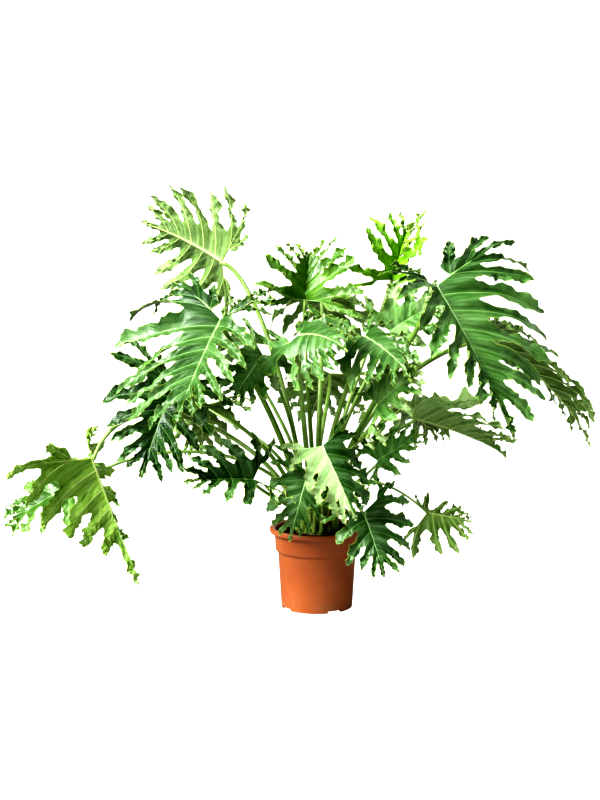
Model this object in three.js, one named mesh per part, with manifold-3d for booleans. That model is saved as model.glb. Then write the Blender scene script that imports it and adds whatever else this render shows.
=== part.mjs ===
// Philodendron selloum (Thaumatophyllum bipinnatifidum) in its 24 cm nursery pot.
// Millimetres, +Z up. The origin is the middle of the flat pad under the pot.
//
// Every leaf is two pieces: a blade, cut into wavy lobes, and the stalk that carries it.
// A blade is drawn flat first, as lobes along a midrib and two side ribs, and is then bent
// over its midrib. The stalks rise in three rings from one crown, which sits in the soil.

import * as THREE from 'three';
import { mergeVertices } from 'three/addons/utils/BufferGeometryUtils.js';
import Module from 'manifold-3d';

const wasm = await Module();
wasm.setup();

// ---------------------------------------------------------------- driving dimensions

const FIT_GAP = 0.3;

const POT_HEIGHT = 205;
const POT_WALL = 2.2;
const POT_RIM_RADIUS = 120;
const POT_RIM_DROP = 12;
const POT_COLLAR_TOP_RADIUS = 107.5;
const POT_COLLAR_FOOT_RADIUS = 105;
const POT_STEP_HEIGHT = 145;
const POT_BODY_TOP_RADIUS = 98.5;
const POT_FOOT_RADIUS = 90;
const ROUND_SIDES = 32;
const POT_FLOOR = 2.5;
const POT_CHANNEL_HEIGHT = 7;
const POT_PAD_RADIUS = 34;
const POT_FOOT_WIDTH = 9;
const POT_ARCH_COUNT = 4;
const POT_ARCH_WIDTH = 38;
const POT_ARCH_HEIGHT = 5.5;
const POT_ARCH_FIRST = 299.75;
const POT_STEP_ROUND = 3.5;
const POT_EDGE_ROUND = 2.5;
const POT_DRAIN_COUNT = 6;
const POT_DRAIN_RADIUS = 5;

const SOIL_TOP = 195;
const SOIL_BUMP = 3;

const CROWN_TOP = 204;
const CROWN_FOOT = 160;
const CROWN_RADIUS = 57;
const CROWN_ROUND = 3;

const BLADE_THICKNESS = 1.2;
const RIB_DEPTH = 2;
const VEIN_DEPTH = 0.3;
const PLEAT = 0.2;
const STALK_SIDES = 6;

// A lobe turns towards the tip by LOBE_TURN. At each free step along it, its half width is
// LOBE_SWELL of half the clear way to its neighbour. The spreads are the seeded differences.
const LOBE_TURN = 24;
const LOBE_TURN_SPREAD = 4;
const LOBE_LENGTH_SPREAD = 0.1;
const LOBE_DROOP_SPREAD = 0.09;
const LOBE_SWELL = [0.62, 0.52];
const SWELL_SPREAD = [0.1, 0.12];
const WAVE_STEP = 2.4;
const WAVE_SHIFT = 2;
const LEAST_RIB = 0.12;
const STEEPEST = 176;

// Where a leaf gives no value of its own. cut is the share of a lobe that the web joins,
// droop and wave are the sag of a lobe and the height of its ruffles, rise is how far the
// stalk's first pull goes straight up, drop is how much lower it ends where the blade's folds
// ask for it, steps its bends, and thick its radii at foot and top.
const LEAF_DEFAULTS = {
  costa: 118, spread: [1, 1], cut: 0.34, droop: 0.1, wave: 6,
  rise: 200, drop: 0, steps: 6, thick: [8, 4],
};

// ---------------------------------------------------------------- leaf forms
// Lengths are shares of the midrib. costa is the side rib that leaves the stalk's end. A lobe
// is [where it starts along its rib, its angle from the midrib, its length]. The lobes of the
// side rib turn with it. steps are the widths' places along the free part of a lobe.

const FORMS = {
  grown: {
    costa: 0.30,
    sinus: [[0.40, 172, 0.27], [0.80, 150, 0.36]],
    ear: [1.00, 127, 0.42],
    shoulder: [[0.80, 108, 0.52], [0.40, 96, 0.60]],
    sides: [[0.07, 76, 0.66], [0.18, 69, 0.68], [0.30, 63, 0.64], [0.42, 57, 0.57],
      [0.54, 50, 0.48], [0.66, 43, 0.37]],
    end: 0.75,
    steps: [0.34, 0.70],
  },
  young: {
    costa: 0.26,
    sinus: [[0.55, 160, 0.30]],
    ear: [1.00, 128, 0.42],
    shoulder: [[0.55, 103, 0.56]],
    sides: [[0.10, 78, 0.65], [0.25, 69, 0.64], [0.40, 60, 0.56], [0.54, 51, 0.46],
      [0.67, 43, 0.35]],
    end: 0.76,
    steps: [0.34, 0.70],
  },
  tailed: {
    costa: 0.26,
    sinus: [[0.55, 160, 0.30]],
    ear: [1.00, 128, 0.46],
    shoulder: [[0.55, 103, 0.60]],
    sides: [[0.10, 82, 0.62], [0.25, 76, 0.50], [0.40, 66, 0.36], [0.53, 54, 0.25]],
    end: 0.64,
    steps: [0.34, 0.70],
  },
  small: {
    costa: 0.24,
    sinus: [],
    ear: [1.00, 136, 0.44],
    shoulder: [[0.50, 106, 0.54]],
    sides: [[0.12, 78, 0.61], [0.31, 65, 0.57], [0.50, 52, 0.47], [0.66, 42, 0.35]],
    end: 0.74,
    steps: [0.50],
  },
};

// ---------------------------------------------------------------- leaves
// attach and tip are the midrib's ends. face is where the glossy upper side looks. left and
// right are the folds of the two halves, in degrees, up if positive, seen from the upper side
// with the tip ahead. arch bends the midrib, ears the part behind the stalk's end, and curl
// rolls both halves. foot is where the stalk stands on the crown: distance and azimuth.
// via is the last bend of the stalk before the blade.

const LEAVES = [
  // right, front: the largest leaf
  { form: 'grown', attach: [290, -90, 826], tip: [476, -200, 465], face: [0.1, -1, 0.35],
    left: -6, right: 50, arch: 34, curl: 24, ears: 20, costa: 106, spread: [1, 0.55],
    seed: 14, foot: [29, 345], via: [262, -10, 690], thick: [9, 7], cut: 0.26 },
  // left, front
  { form: 'grown', attach: [-236, -120, 745], tip: [-345, -290, 500], face: [-0.1, -1, 0.45],
    left: 40, right: -4, arch: 30, curl: 26, ears: 10, costa: 126, spread: [0.65, 1.3],
    seed: 23, foot: [48, 218], via: [-200, 30, 640], drop: -0.8, thick: [9, 6.5], cut: 0.28 },
  // upper left, its pale underside to the front
  { form: 'young', attach: [-242, 130, 867], tip: [-462, 290, 960], face: [0.68, 0.55, 0.49],
    left: 35, right: -10, arch: 16, curl: 10, ears: 0, costa: 100, spread: [0.95, 1],
    seed: 37, foot: [29, 165], via: [-150, 130, 860], drop: 1.1, thick: [8, 6], steps: 8 },
  // far left, hanging, underside to the front
  { form: 'tailed', attach: [-562, -60, 393], tip: [-442, -110, 83], face: [-0.3, 1, 0.2],
    left: -10, right: 85, arch: 30, curl: 40, ears: 10, costa: 108, spread: [1.1, 0.6],
    seed: 41, foot: [48, 176], via: [-480, 20, 640], thick: [7.5, 5.5], steps: 9,
    drop: -0.6, droop: 0.04 },
  // far left, behind the one before
  { form: 'small', attach: [-618, 95, 296], tip: [-800, 60, 190], face: [-0.2, -0.5, 0.85],
    left: 10, right: 10, arch: 24, curl: 24, ears: 10, seed: 53, foot: [48, 156],
    via: [-420, 95, 450], drop: 0.2, thick: [5.5, 4], steps: 7 },
  // left, below the front leaf
  { form: 'young', attach: [-363, -20, 563], tip: [-440, -90, 348], face: [-0.1, -1, 0.3],
    left: 5, right: 25, arch: 20, curl: 20, ears: 10, seed: 67, foot: [48, 196],
    via: [-260, 10, 520], thick: [7, 5] },
  // low, left of the pot
  { form: 'small', attach: [-157, -190, 362], tip: [-320, -280, 375], face: [0, -0.3, 0.95],
    left: 5, right: 60, arch: 10, curl: 10, ears: 0, seed: 71, foot: [48, 240],
    via: [-105, -130, 290], rise: 60, drop: -1.2, thick: [6, 4] },
  // low, in the middle
  { form: 'small', attach: [10, -210, 449], tip: [91, -300, 285], face: [0, -1, 0.5],
    left: -20, right: -30, arch: 26, curl: 26, ears: -20, seed: 87, foot: [48, 284],
    via: [10, -150, 440], thick: [6, 4.5], drop: 1.8 },
  // hanging over the rim in the middle
  { form: 'small', attach: [-24, -140, 372], tip: [-70, -180, 205], face: [0, -1, 0.3],
    left: -10, right: -10, arch: 20, curl: 20, ears: 10, spread: [0.8, 1], seed: 91,
    foot: [48, 262], via: [-10, -120, 380], drop: 0.8, thick: [5.5, 3.5] },
  // hanging over the rim on the right
  { form: 'small', attach: [112, -176, 278], tip: [162, -241, 131], face: [0.1, -1, 0.5],
    left: 5, right: 5, arch: 30, curl: 20, ears: -10, seed: 101, foot: [48, 306],
    via: [90, -140, 300], thick: [5.5, 3.5], spread: [1.2, 1.0] },
  // small one on a thin stalk, right
  { form: 'small', attach: [276, -40, 249], tip: [388, -70, 233], face: [0, 0.95, 0.2],
    left: -5, right: 85, arch: 12, curl: 16, spread: [1.5, 1], ears: 0, seed: 103, foot: [48, 328],
    via: [200, -175, 350], drop: -0.5, thick: [4.5, 2.8], steps: 8 },
  // low right, lifted
  { form: 'small', attach: [152, -28, 380], tip: [270, -68, 457], face: [-0.2, -0.8, 0.6],
    left: 20, right: 20, arch: 16, curl: 10, ears: 0, seed: 107, foot: [48, 348],
    via: [110, -30, 320], thick: [5.5, 3.5], rise: 110 },
  // right, its pale underside to the front
  { form: 'young', attach: [240, -20, 487], tip: [486, 60, 379], face: [0.1, 0.9, 0.5],
    left: 80, right: -10, arch: 24, curl: 20, ears: 0, spread: [0.85, 1], seed: 109, foot: [48, 8],
    via: [140, 30, 410], thick: [7, 5], drop: -0.9 },
  // light one, middle right
  { form: 'small', attach: [143, -260, 557], tip: [243, -330, 646], face: [-0.3, -0.6, 0.75],
    left: 10, right: 10, arch: 20, curl: 20, ears: 0, seed: 113, foot: [29, 309],
    via: [135, -165, 450], thick: [6, 4], cut: 0.5, spread: [1.1, 1.1], drop: -0.7 },
  // upper middle, right
  { form: 'young', attach: [112, -200, 713], tip: [215, -390, 640], face: [0, -0.35, 0.95],
    left: 5, right: -10, arch: 26, curl: 24, ears: -90, costa: 140, spread: [0.68, 1],
    seed: 127, foot: [29, 273], via: [95, -130, 640], thick: [8, 6], cut: 0.34 },
  // upper middle, left
  { form: 'young', attach: [-45, -210, 718], tip: [62, -400, 710], face: [0, -0.35, 0.95],
    left: 15, right: -45, arch: 30, curl: 24, ears: -80, costa: 140, seed: 131, foot: [29, 237],
    via: [-60, -130, 640], drop: 0.8, thick: [8, 6], cut: 0.36, spread: [0.9, 1] },
  // top, middle
  { form: 'small', attach: [-30, 60, 775], tip: [-20, 200, 890], face: [0, -0.6, 0.8],
    left: 50, right: 40, arch: 12, curl: 10, ears: 0, seed: 137, foot: [10, 120],
    via: [-40, 60, 650], thick: [7, 5], spread: [1.3, 1.5], cut: 0.36, drop: -2.5 },
  // top, right of the middle
  { form: 'small', attach: [196, 200, 815], tip: [250, 310, 955], face: [-0.1, -0.65, 0.7],
    left: 60, right: 60, arch: 20, curl: 16, ears: 0, seed: 140, foot: [29, 57],
    via: [146, 155, 655], thick: [7, 5], spread: [1.3, 1.3], cut: 0.26, drop: -0.4 },
  // upper right, behind the largest
  { form: 'small', attach: [185, 40, 700], tip: [350, 10, 790], face: [-0.4, -0.7, 0.6],
    left: 30, right: 10, arch: 24, curl: 20, ears: 0, seed: 149, foot: [10, 0],
    via: [140, 50, 600], thick: [7, 5], drop: -0.15 },
  // far right, behind
  { form: 'grown', attach: [447, 190, 669], tip: [735, 260, 372], face: [0.5, 0.7, 0.5],
    left: 50, right: -10, arch: 34, curl: 24, ears: 0, spread: [0.8, 0.75], seed: 151, foot: [48, 30],
    via: [262, 197, 640], rise: 250, drop: -1.6, thick: [9, 6.5], cut: 0.28 },
  // left of the middle, ruffled
  { form: 'small', attach: [-135, -80, 655], tip: [-210, -110, 545], face: [0, -1, 0.4],
    left: 0, right: 0, arch: 26, curl: 26, ears: -20, seed: 157, foot: [29, 201],
    via: [-100, -40, 600], thick: [6, 4], cut: 0.42, spread: [1.2, 1.2], drop: 0.3 },
  // back left, upper
  { form: 'small', attach: [-205, 220, 640], tip: [-330, 350, 620], face: [-0.2, 0.1, 1],
    left: 10, right: 10, arch: 26, curl: 20, ears: 0, seed: 163, foot: [29, 129],
    via: [-160, 170, 560], drop: -0.8, thick: [6, 4], spread: [1.1, 1.1] },
  // back, low
  { form: 'small', attach: [37, 300, 556], tip: [-20, 440, 400], face: [0, 0.8, 0.6],
    left: 0, right: 0, arch: 26, curl: 24, ears: 0, seed: 167, foot: [48, 100],
    via: [40, 230, 500], thick: [7, 5] },
  // back left, low
  { form: 'small', attach: [-290, 240, 481], tip: [-310, 350, 330], face: [-0.2, 0.8, 0.6],
    left: 0, right: 0, arch: 24, curl: 24, ears: 0, seed: 173, foot: [48, 134],
    via: [-220, 190, 430], thick: [6, 4] },
  // back, upper
  { form: 'young', attach: [15, 310, 750], tip: [65, 465, 600], face: [0.1, 0.7, 0.7],
    left: 0, right: 0, arch: 34, curl: 24, ears: 0, seed: 179, foot: [29, 93],
    via: [20, 225, 660], thick: [8, 6], drop: 0.2 },
  // back right, low
  { form: 'small', attach: [220, 250, 470], tip: [330, 360, 370], face: [0.3, 0.5, 0.8],
    left: 0, right: 0, arch: 26, curl: 24, ears: 0, seed: 181, foot: [48, 60],
    via: [150, 180, 420], thick: [6, 4], spread: [1.1, 1.1] },
];

// ---------------------------------------------------------------- small helpers

const radians = THREE.MathUtils.degToRad;

// Park and Miller's generator: the same seed always gives the same draws, from -1 to 1.
function seededDraws(seed) {
  let state = seed;
  return () => {
    state = (state * 16807) % 2147483647;
    return 2 * state / 2147483647 - 1;
  };
}

function closedGeometry(points, faces) {
  const geometry = new THREE.BufferGeometry();
  const places = points.flatMap((p) => p.toArray());
  geometry.setAttribute('position', new THREE.Float32BufferAttribute(places, 3));
  geometry.setIndex(faces.flat());
  return geometry;
}

function toSolid(geometry) {
  const bare = geometry.clone();
  bare.deleteAttribute('normal');
  bare.deleteAttribute('uv');
  const merged = mergeVertices(bare, 1e-4);
  return new wasm.Manifold(new wasm.Mesh({
    numProp: 3,
    vertProperties: new Float32Array(merged.attributes.position.array),
    triVerts: new Uint32Array(merged.index.array),
  }));
}

function toGeometry(solid) {
  const mesh = solid.getMesh();
  const geometry = new THREE.BufferGeometry();
  geometry.setAttribute('position', new THREE.BufferAttribute(mesh.vertProperties, 3));
  geometry.setIndex(new THREE.BufferAttribute(mesh.triVerts, 1));
  return geometry;
}

// Where an even bend leads: the heading starts at an angle and falls by slope per millimetre.
// Returns how far it goes [forward, sideways].
function bendOffset(start, slope, distance) {
  if (Math.abs(slope) < 1e-9) {
    return [distance * Math.cos(start), distance * Math.sin(start)];
  }
  const end = start - slope * distance;
  return [(Math.sin(start) - Math.sin(end)) / slope, (Math.cos(end) - Math.cos(start)) / slope];
}

// ---------------------------------------------------------------- flat plan of a blade
// Flat places are [across, along]: across is measured out from the midrib on either side.

function ribPoint(lobe, t) {
  const slope = radians(lobe.turn) / lobe.length;
  const [along, across] = bendOffset(radians(lobe.angle), slope, lobe.length * t);
  return [lobe.base[0] + across, lobe.base[1] + along];
}

function planLobe(base, angle, length, leaf, draw) {
  const isEnd = angle === 0;
  const swell = () => LOBE_SWELL.map((share, i) => share + SWELL_SPREAD[i] * draw());
  return {
    base,
    angle: isEnd ? 0 : angle + LOBE_TURN_SPREAD * draw(),
    turn: isEnd ? 0 : LOBE_TURN + LOBE_TURN_SPREAD * draw(),
    length: isEnd ? length : length * (1 + LOBE_LENGTH_SPREAD * draw()),
    droop: leaf.droop + LOBE_DROOP_SPREAD * draw(),
    swell: { back: swell(), front: swell() },
    phase: Math.PI * draw(),
  };
}

// The lobes of one half, from the gap behind the stalk round to the last one before the tip.
function planHalf(leaf, form, side, midrib, draw) {
  const spread = leaf.spread[side > 0 ? 1 : 0] * midrib;
  const costa = form.costa * spread;
  const out = radians(leaf.costa);
  const onCosta = (share) => [share * costa * Math.sin(out), share * costa * Math.cos(out)];
  const opened = (angle) => Math.min(angle + leaf.costa - LEAF_DEFAULTS.costa, STEEPEST);
  const behind = [...form.sinus, form.ear, ...form.shoulder].map(([share, angle, length]) =>
    planLobe(onCosta(share), opened(angle), length * spread, leaf, draw));
  const ahead = form.sides.map(([share, angle, length]) =>
    planLobe([0, share * midrib], angle, length * spread, leaf, draw));
  return { lobes: [...behind, ...ahead], behindCount: behind.length };
}

// ---------------------------------------------------------------- bending a blade

// Bends flat places over the midrib. The midrib is an arc between attach and tip.
function bladeBend(leaf) {
  const attach = new THREE.Vector3(...leaf.attach);
  const chord = new THREE.Vector3(...leaf.tip).sub(attach);
  const reach = chord.length();
  const ahead = chord.clone().normalize();
  const up = new THREE.Vector3(...leaf.face);
  up.addScaledVector(ahead, -up.dot(ahead)).normalize();
  const right = new THREE.Vector3().crossVectors(ahead, up);

  const arch = radians(leaf.arch);
  const midrib = reach * (arch / 2) / Math.sin(arch / 2);
  const slope = arch / midrib;
  const earSlope = radians(leaf.ears) / (0.5 * midrib);
  const curl = radians(leaf.curl) / (0.6 * midrib);

  function place(side, across, along, lift) {
    const bend = along < 0 ? earSlope : slope;
    const turned = arch / 2 - bend * along;
    const [forward, rise] = bendOffset(arch / 2, bend, along);
    const fold = radians(side > 0 ? leaf.right : leaf.left);
    const tilt = fold - curl * across;
    const [sideways, height] = bendOffset(fold, curl, across);
    const normal = up.clone().multiplyScalar(Math.cos(turned))
      .addScaledVector(ahead, -Math.sin(turned));
    const skin = normal.clone().multiplyScalar(Math.cos(tilt))
      .addScaledVector(right, -side * Math.sin(tilt));
    return attach.clone()
      .addScaledVector(ahead, forward)
      .addScaledVector(up, rise)
      .addScaledVector(right, side * sideways)
      .addScaledVector(normal, height)
      .addScaledVector(skin, lift);
  }
  return { midrib, place };
}

// The blade's middle surface: points, triangles that face the upper side, and each point's
// depth of rib below it.
function bladeSurface(leaf) {
  const form = FORMS[leaf.form];
  const draw = seededDraws(leaf.seed);
  const { midrib, place } = bladeBend(leaf);
  const web = leaf.cut;
  const stations = [0, web, ...form.steps.map((step) => web + step * (1 - web)), 1];
  const points = [];
  const ribs = [];
  const faces = [];
  const known = new Map();

  function point(side, [across, along], lift, rib) {
    const key = `${across < 1e-6 ? 0 : side} ${across.toFixed(3)} ${along.toFixed(3)}`;
    if (!known.has(key)) {
      known.set(key, points.length);
      points.push(place(side, across, along, lift));
      ribs.push(rib);
    }
    return known.get(key);
  }

  function addFace(side, a, b, c) {
    if (a !== b && b !== c && c !== a) {
      faces.push(side > 0 ? [a, b, c] : [a, c, b]);
    }
  }

  function addStrip(side, near, far) {
    for (let i = 0; i + 1 < near.length; i += 1) {
      addFace(side, near[i], near[i + 1], far[i + 1]);
      addFace(side, near[i], far[i + 1], far[i]);
    }
  }

  point(1, [0, 0], 0, RIB_DEPTH);

  const sagAt = (lobe, t) => -lobe.droop * lobe.length * t * t;
  const ribAt = ([across, along]) => {
    const share = across > 0 ? across / (form.costa * midrib) : along / midrib;
    return RIB_DEPTH * Math.max(LEAST_RIB, 1 - share);
  };

  function veinLine(side, lobe) {
    return stations.map((t) => point(side, ribPoint(lobe, t), sagAt(lobe, t),
      t === 0 ? ribAt(lobe.base) : VEIN_DEPTH));
  }

  // Half the clear way between two neighbouring lobes, where the web ends.
  function halfGap(back, front) {
    const [a, b] = [ribPoint(back, web), ribPoint(front, web)];
    const heading = radians((back.angle + front.angle - (back.turn + front.turn) * web) / 2);
    return Math.abs((b[0] - a[0]) * Math.cos(heading) - (b[1] - a[1]) * Math.sin(heading)) / 2;
  }

  // The line between two neighbouring lobes, which they share as far as the web reaches.
  function sharedLine(side, back, front, start) {
    const [a, b] = [ribPoint(back, web), ribPoint(front, web)];
    const middle = [(a[0] + b[0]) / 2, (a[1] + b[1]) / 2];
    const gap = halfGap(back, front);
    const sag = (sagAt(back, web) + sagAt(front, web)) / 2;
    const line = [point(side, start, 0, ribAt(start)), point(side, middle, sag + PLEAT * gap, 0)];
    return { line, gap };
  }

  // A free margin: direction is 1 on the lobe's front edge, -1 on its back edge.
  function margin(side, lobe, gap, direction, swell) {
    const beyond = form.steps.map((_, i) => {
      const t = stations[i + 2];
      const heading = radians(lobe.angle - lobe.turn * t);
      const [across, along] = ribPoint(lobe, t);
      const width = gap * swell[i] * direction;
      const phase = lobe.phase + WAVE_STEP * i + (direction > 0 ? 0 : WAVE_SHIFT);
      const wave = leaf.wave * Math.sin(phase);
      return point(side, [across - width * Math.cos(heading), along + width * Math.sin(heading)],
        sagAt(lobe, t) + wave, 0);
    });
    return [...beyond, point(side, ribPoint(lobe, 1), sagAt(lobe, 1), VEIN_DEPTH)];
  }

  const halves = [1, -1].map((side) => ({ side, ...planHalf(leaf, form, side, midrib, draw) }));
  const end = planLobe([0, form.end * midrib], 0, (1 - form.end) * midrib, leaf, draw);
  const endVein = veinLine(1, end);

  for (const { side, lobes, behindCount } of halves) {
    const row = [...lobes, end];
    let back = null;
    row.forEach((lobe, i) => {
      const isEnd = lobe === end;
      const vein = isEnd ? endVein : veinLine(side, lobe);
      if (back === null) {
        const gap = halfGap(lobe, row[1]);
        const heading = radians(lobe.angle - lobe.turn * web);
        const [across, along] = ribPoint(lobe, web);
        const corner = point(side, [across + gap * Math.cos(heading), along - gap * Math.sin(heading)],
          sagAt(lobe, web), 0);
        back = { line: [vein[0], corner], gap };
      }
      addStrip(side, [...back.line, ...margin(side, lobe, back.gap, -1, lobe.swell.back)], vein);
      if (isEnd) {
        return;
      }
      const next = row[i + 1];
      const start = i + 1 === behindCount ? [0, 0] : [0, 1].map((k) => (lobe.base[k] + next.base[k]) / 2);
      const front = sharedLine(side, lobe, next, start);
      addStrip(side, vein, [...front.line, ...margin(side, lobe, front.gap, 1, lobe.swell.front)]);
      back = front;
    });
  }

  const normals = points.map(() => new THREE.Vector3());
  for (const face of faces) {
    const [a, b, c] = face.map((i) => points[i]);
    const normal = b.clone().sub(a).cross(c.clone().sub(a));
    face.forEach((i) => normals[i].add(normal));
  }
  normals.forEach((normal) => normal.normalize());
  return { points, normals, ribs, faces };
}

// Gives the surface its thickness and closes it along its margin.
function bladeGeometry(leaf) {
  const { points, normals, ribs, faces } = bladeSurface(leaf);
  const half = BLADE_THICKNESS / 2;
  const count = points.length;
  const upper = points.map((p, i) => p.clone().addScaledVector(normals[i], half));
  const under = points.map((p, i) => p.clone().addScaledVector(normals[i], -half - ribs[i]));
  const edges = new Set(faces.flatMap(([a, b, c]) => [`${a} ${b}`, `${b} ${c}`, `${c} ${a}`]));
  const rim = [...edges]
    .map((edge) => edge.split(' ').map(Number))
    .filter(([a, b]) => !edges.has(`${b} ${a}`))
    .flatMap(([a, b]) => [[b, a, a + count], [b, a + count, b + count]]);
  return closedGeometry([...upper, ...under], [
    ...faces,
    ...faces.map(([a, b, c]) => [a + count, c + count, b + count]),
    ...rim,
  ]);
}

// ---------------------------------------------------------------- stalks

// The stalk ends just under the rib at the blade's root. The flatter it meets the blade, the
// more of its end's radius lies between the two.
function stalkPath(leaf) {
  const { points, normals } = bladeSurface(leaf);
  const via = new THREE.Vector3(...leaf.via);
  const heading = points[0].clone().sub(via).normalize();
  const slant = Math.sqrt(1 - heading.dot(normals[0]) ** 2);
  const below = BLADE_THICKNESS / 2 + RIB_DEPTH + FIT_GAP + leaf.thick[1] * slant + leaf.drop;
  const top = points[0].clone().addScaledVector(normals[0], -below);
  const [distance, azimuth] = leaf.foot;
  const foot = new THREE.Vector3(
    distance * Math.cos(radians(azimuth)),
    distance * Math.sin(radians(azimuth)),
    CROWN_TOP + FIT_GAP,
  );
  const rise = foot.clone().setZ(foot.z + leaf.rise);
  return new THREE.CubicBezierCurve3(foot, rise, via, top);
}

// A tapering round tube: its first ring lies flat on the crown.
function stalkGeometry(leaf) {
  const path = stalkPath(leaf);
  const steps = leaf.steps;
  const frames = path.computeFrenetFrames(steps, false);
  const points = [];
  const faces = [];
  for (let i = 0; i <= steps; i += 1) {
    const t = i / steps;
    const centre = path.getPointAt(t);
    const radius = leaf.thick[0] + (leaf.thick[1] - leaf.thick[0]) * Math.sqrt(t);
    for (let j = 0; j < STALK_SIDES; j += 1) {
      const angle = 2 * Math.PI * j / STALK_SIDES;
      points.push(centre.clone()
        .addScaledVector(frames.normals[i], radius * Math.cos(angle))
        .addScaledVector(frames.binormals[i], radius * Math.sin(angle)));
    }
  }
  const ring = (i, j) => i * STALK_SIDES + (j % STALK_SIDES);
  for (let i = 0; i < steps; i += 1) {
    for (let j = 0; j < STALK_SIDES; j += 1) {
      faces.push([ring(i, j), ring(i, j + 1), ring(i + 1, j + 1)]);
      faces.push([ring(i, j), ring(i + 1, j + 1), ring(i + 1, j)]);
    }
  }
  for (let j = 1; j + 1 < STALK_SIDES; j += 1) {
    faces.push([ring(0, 0), ring(0, j + 1), ring(0, j)]);
    faces.push([ring(steps, 0), ring(steps, j), ring(steps, j + 1)]);
  }
  return closedGeometry(points, faces);
}

// ---------------------------------------------------------------- pot, soil and crown

function lathe(profile, sides) {
  const geometry = new THREE.LatheGeometry(profile.map(([r, z]) => new THREE.Vector2(r, z)), sides);
  return geometry.rotateX(Math.PI / 2);
}

// The inside of the pot from its floor to its rim, which the soil follows.
function potInside(gap) {
  const inset = POT_WALL + gap;
  return [
    [POT_FOOT_RADIUS - inset, POT_CHANNEL_HEIGHT + POT_FLOOR + gap],
    [POT_BODY_TOP_RADIUS - inset, POT_STEP_HEIGHT - POT_STEP_ROUND],
    [POT_COLLAR_FOOT_RADIUS - inset, POT_STEP_HEIGHT + POT_STEP_ROUND],
  ];
}

function potGeometry() {
  const rimFoot = POT_HEIGHT - POT_RIM_DROP;
  const outside = [
    [0, 0],
    [POT_PAD_RADIUS, 0],
    [POT_PAD_RADIUS + POT_EDGE_ROUND, POT_CHANNEL_HEIGHT],
    [POT_FOOT_RADIUS - POT_FOOT_WIDTH, POT_CHANNEL_HEIGHT],
    [POT_FOOT_RADIUS - POT_FOOT_WIDTH + POT_EDGE_ROUND, 0],
    [POT_FOOT_RADIUS, 0],
    [POT_BODY_TOP_RADIUS, POT_STEP_HEIGHT - POT_STEP_ROUND],
    [POT_COLLAR_FOOT_RADIUS - POT_STEP_ROUND, POT_STEP_HEIGHT],
    [POT_COLLAR_FOOT_RADIUS, POT_STEP_HEIGHT + POT_STEP_ROUND],
    [POT_COLLAR_TOP_RADIUS, rimFoot],
    [POT_RIM_RADIUS - POT_EDGE_ROUND, rimFoot],
    [POT_RIM_RADIUS, rimFoot + POT_EDGE_ROUND],
    [POT_RIM_RADIUS, POT_HEIGHT - POT_EDGE_ROUND],
    [POT_RIM_RADIUS - POT_EDGE_ROUND, POT_HEIGHT],
    [POT_COLLAR_TOP_RADIUS, POT_HEIGHT],
    [POT_COLLAR_TOP_RADIUS - POT_WALL, POT_HEIGHT - POT_EDGE_ROUND],
  ];
  const inside = potInside(0).reverse();
  let pot = toSolid(lathe([...outside, ...inside, [0, POT_CHANNEL_HEIGHT + POT_FLOOR]], ROUND_SIDES));

  for (let i = 0; i < POT_ARCH_COUNT; i += 1) {
    const arch = new THREE.BoxGeometry(2.5 * POT_FOOT_WIDTH, POT_ARCH_WIDTH, 2 * POT_ARCH_HEIGHT);
    arch.translate(POT_FOOT_RADIUS, 0, 0);
    arch.rotateZ(radians(POT_ARCH_FIRST + i * 360 / POT_ARCH_COUNT));
    pot = pot.subtract(toSolid(arch));
  }
  for (let i = 0; i < POT_DRAIN_COUNT; i += 1) {
    const drain = new THREE.CylinderGeometry(POT_DRAIN_RADIUS, POT_DRAIN_RADIUS, 6 * POT_FLOOR, 6);
    drain.rotateX(Math.PI / 2);
    drain.translate((POT_FOOT_RADIUS + POT_PAD_RADIUS) / 2, 0, POT_CHANNEL_HEIGHT);
    drain.rotateZ(2 * Math.PI * i / POT_DRAIN_COUNT);
    pot = pot.subtract(toSolid(drain));
  }
  return toGeometry(pot);
}

// Fills the pot, with a plain hole for the crown and a crumbly top.
function soilGeometry() {
  const hole = CROWN_RADIUS + FIT_GAP;
  const edge = POT_COLLAR_TOP_RADIUS - POT_WALL - 3 * FIT_GAP;
  const profile = [
    [0, POT_CHANNEL_HEIGHT + POT_FLOOR + FIT_GAP],
    ...potInside(FIT_GAP),
    [edge, SOIL_TOP],
    [(edge + hole) / 2, SOIL_TOP],
    [hole, SOIL_TOP],
    [hole, CROWN_FOOT - FIT_GAP],
    [0, CROWN_FOOT - FIT_GAP],
  ];
  const geometry = lathe(profile, ROUND_SIDES);
  geometry.deleteAttribute('normal');
  geometry.deleteAttribute('uv');
  const soil = mergeVertices(geometry, 1e-3);
  const draw = seededDraws(7);
  const places = soil.attributes.position;
  for (let i = 0; i < places.count; i += 1) {
    if (places.getZ(i) > SOIL_TOP - 1) {
      places.setZ(i, SOIL_TOP + SOIL_BUMP * draw());
    }
  }
  return soil;
}

function crownGeometry() {
  return lathe([
    [0, CROWN_FOOT],
    [CROWN_RADIUS - CROWN_ROUND, CROWN_FOOT],
    [CROWN_RADIUS, CROWN_FOOT + CROWN_ROUND],
    [CROWN_RADIUS, CROWN_TOP - CROWN_ROUND],
    [CROWN_RADIUS - CROWN_ROUND, CROWN_TOP],
    [0, CROWN_TOP],
  ], ROUND_SIDES);
}

// ---------------------------------------------------------------- the whole plant

const part = new THREE.Group();

function addPiece(name, geometry, color, roughness) {
  const material = new THREE.MeshStandardMaterial({ color, roughness, metalness: 0 });
  const piece = new THREE.Mesh(geometry, material);
  piece.name = name;
  part.add(piece);
}

addPiece('pot', potGeometry(), 0xc4683c, 0.6);
addPiece('soil', soilGeometry(), 0x2e2119, 0.95);
addPiece('crown', crownGeometry(), 0x7a7a42, 0.8);

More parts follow.
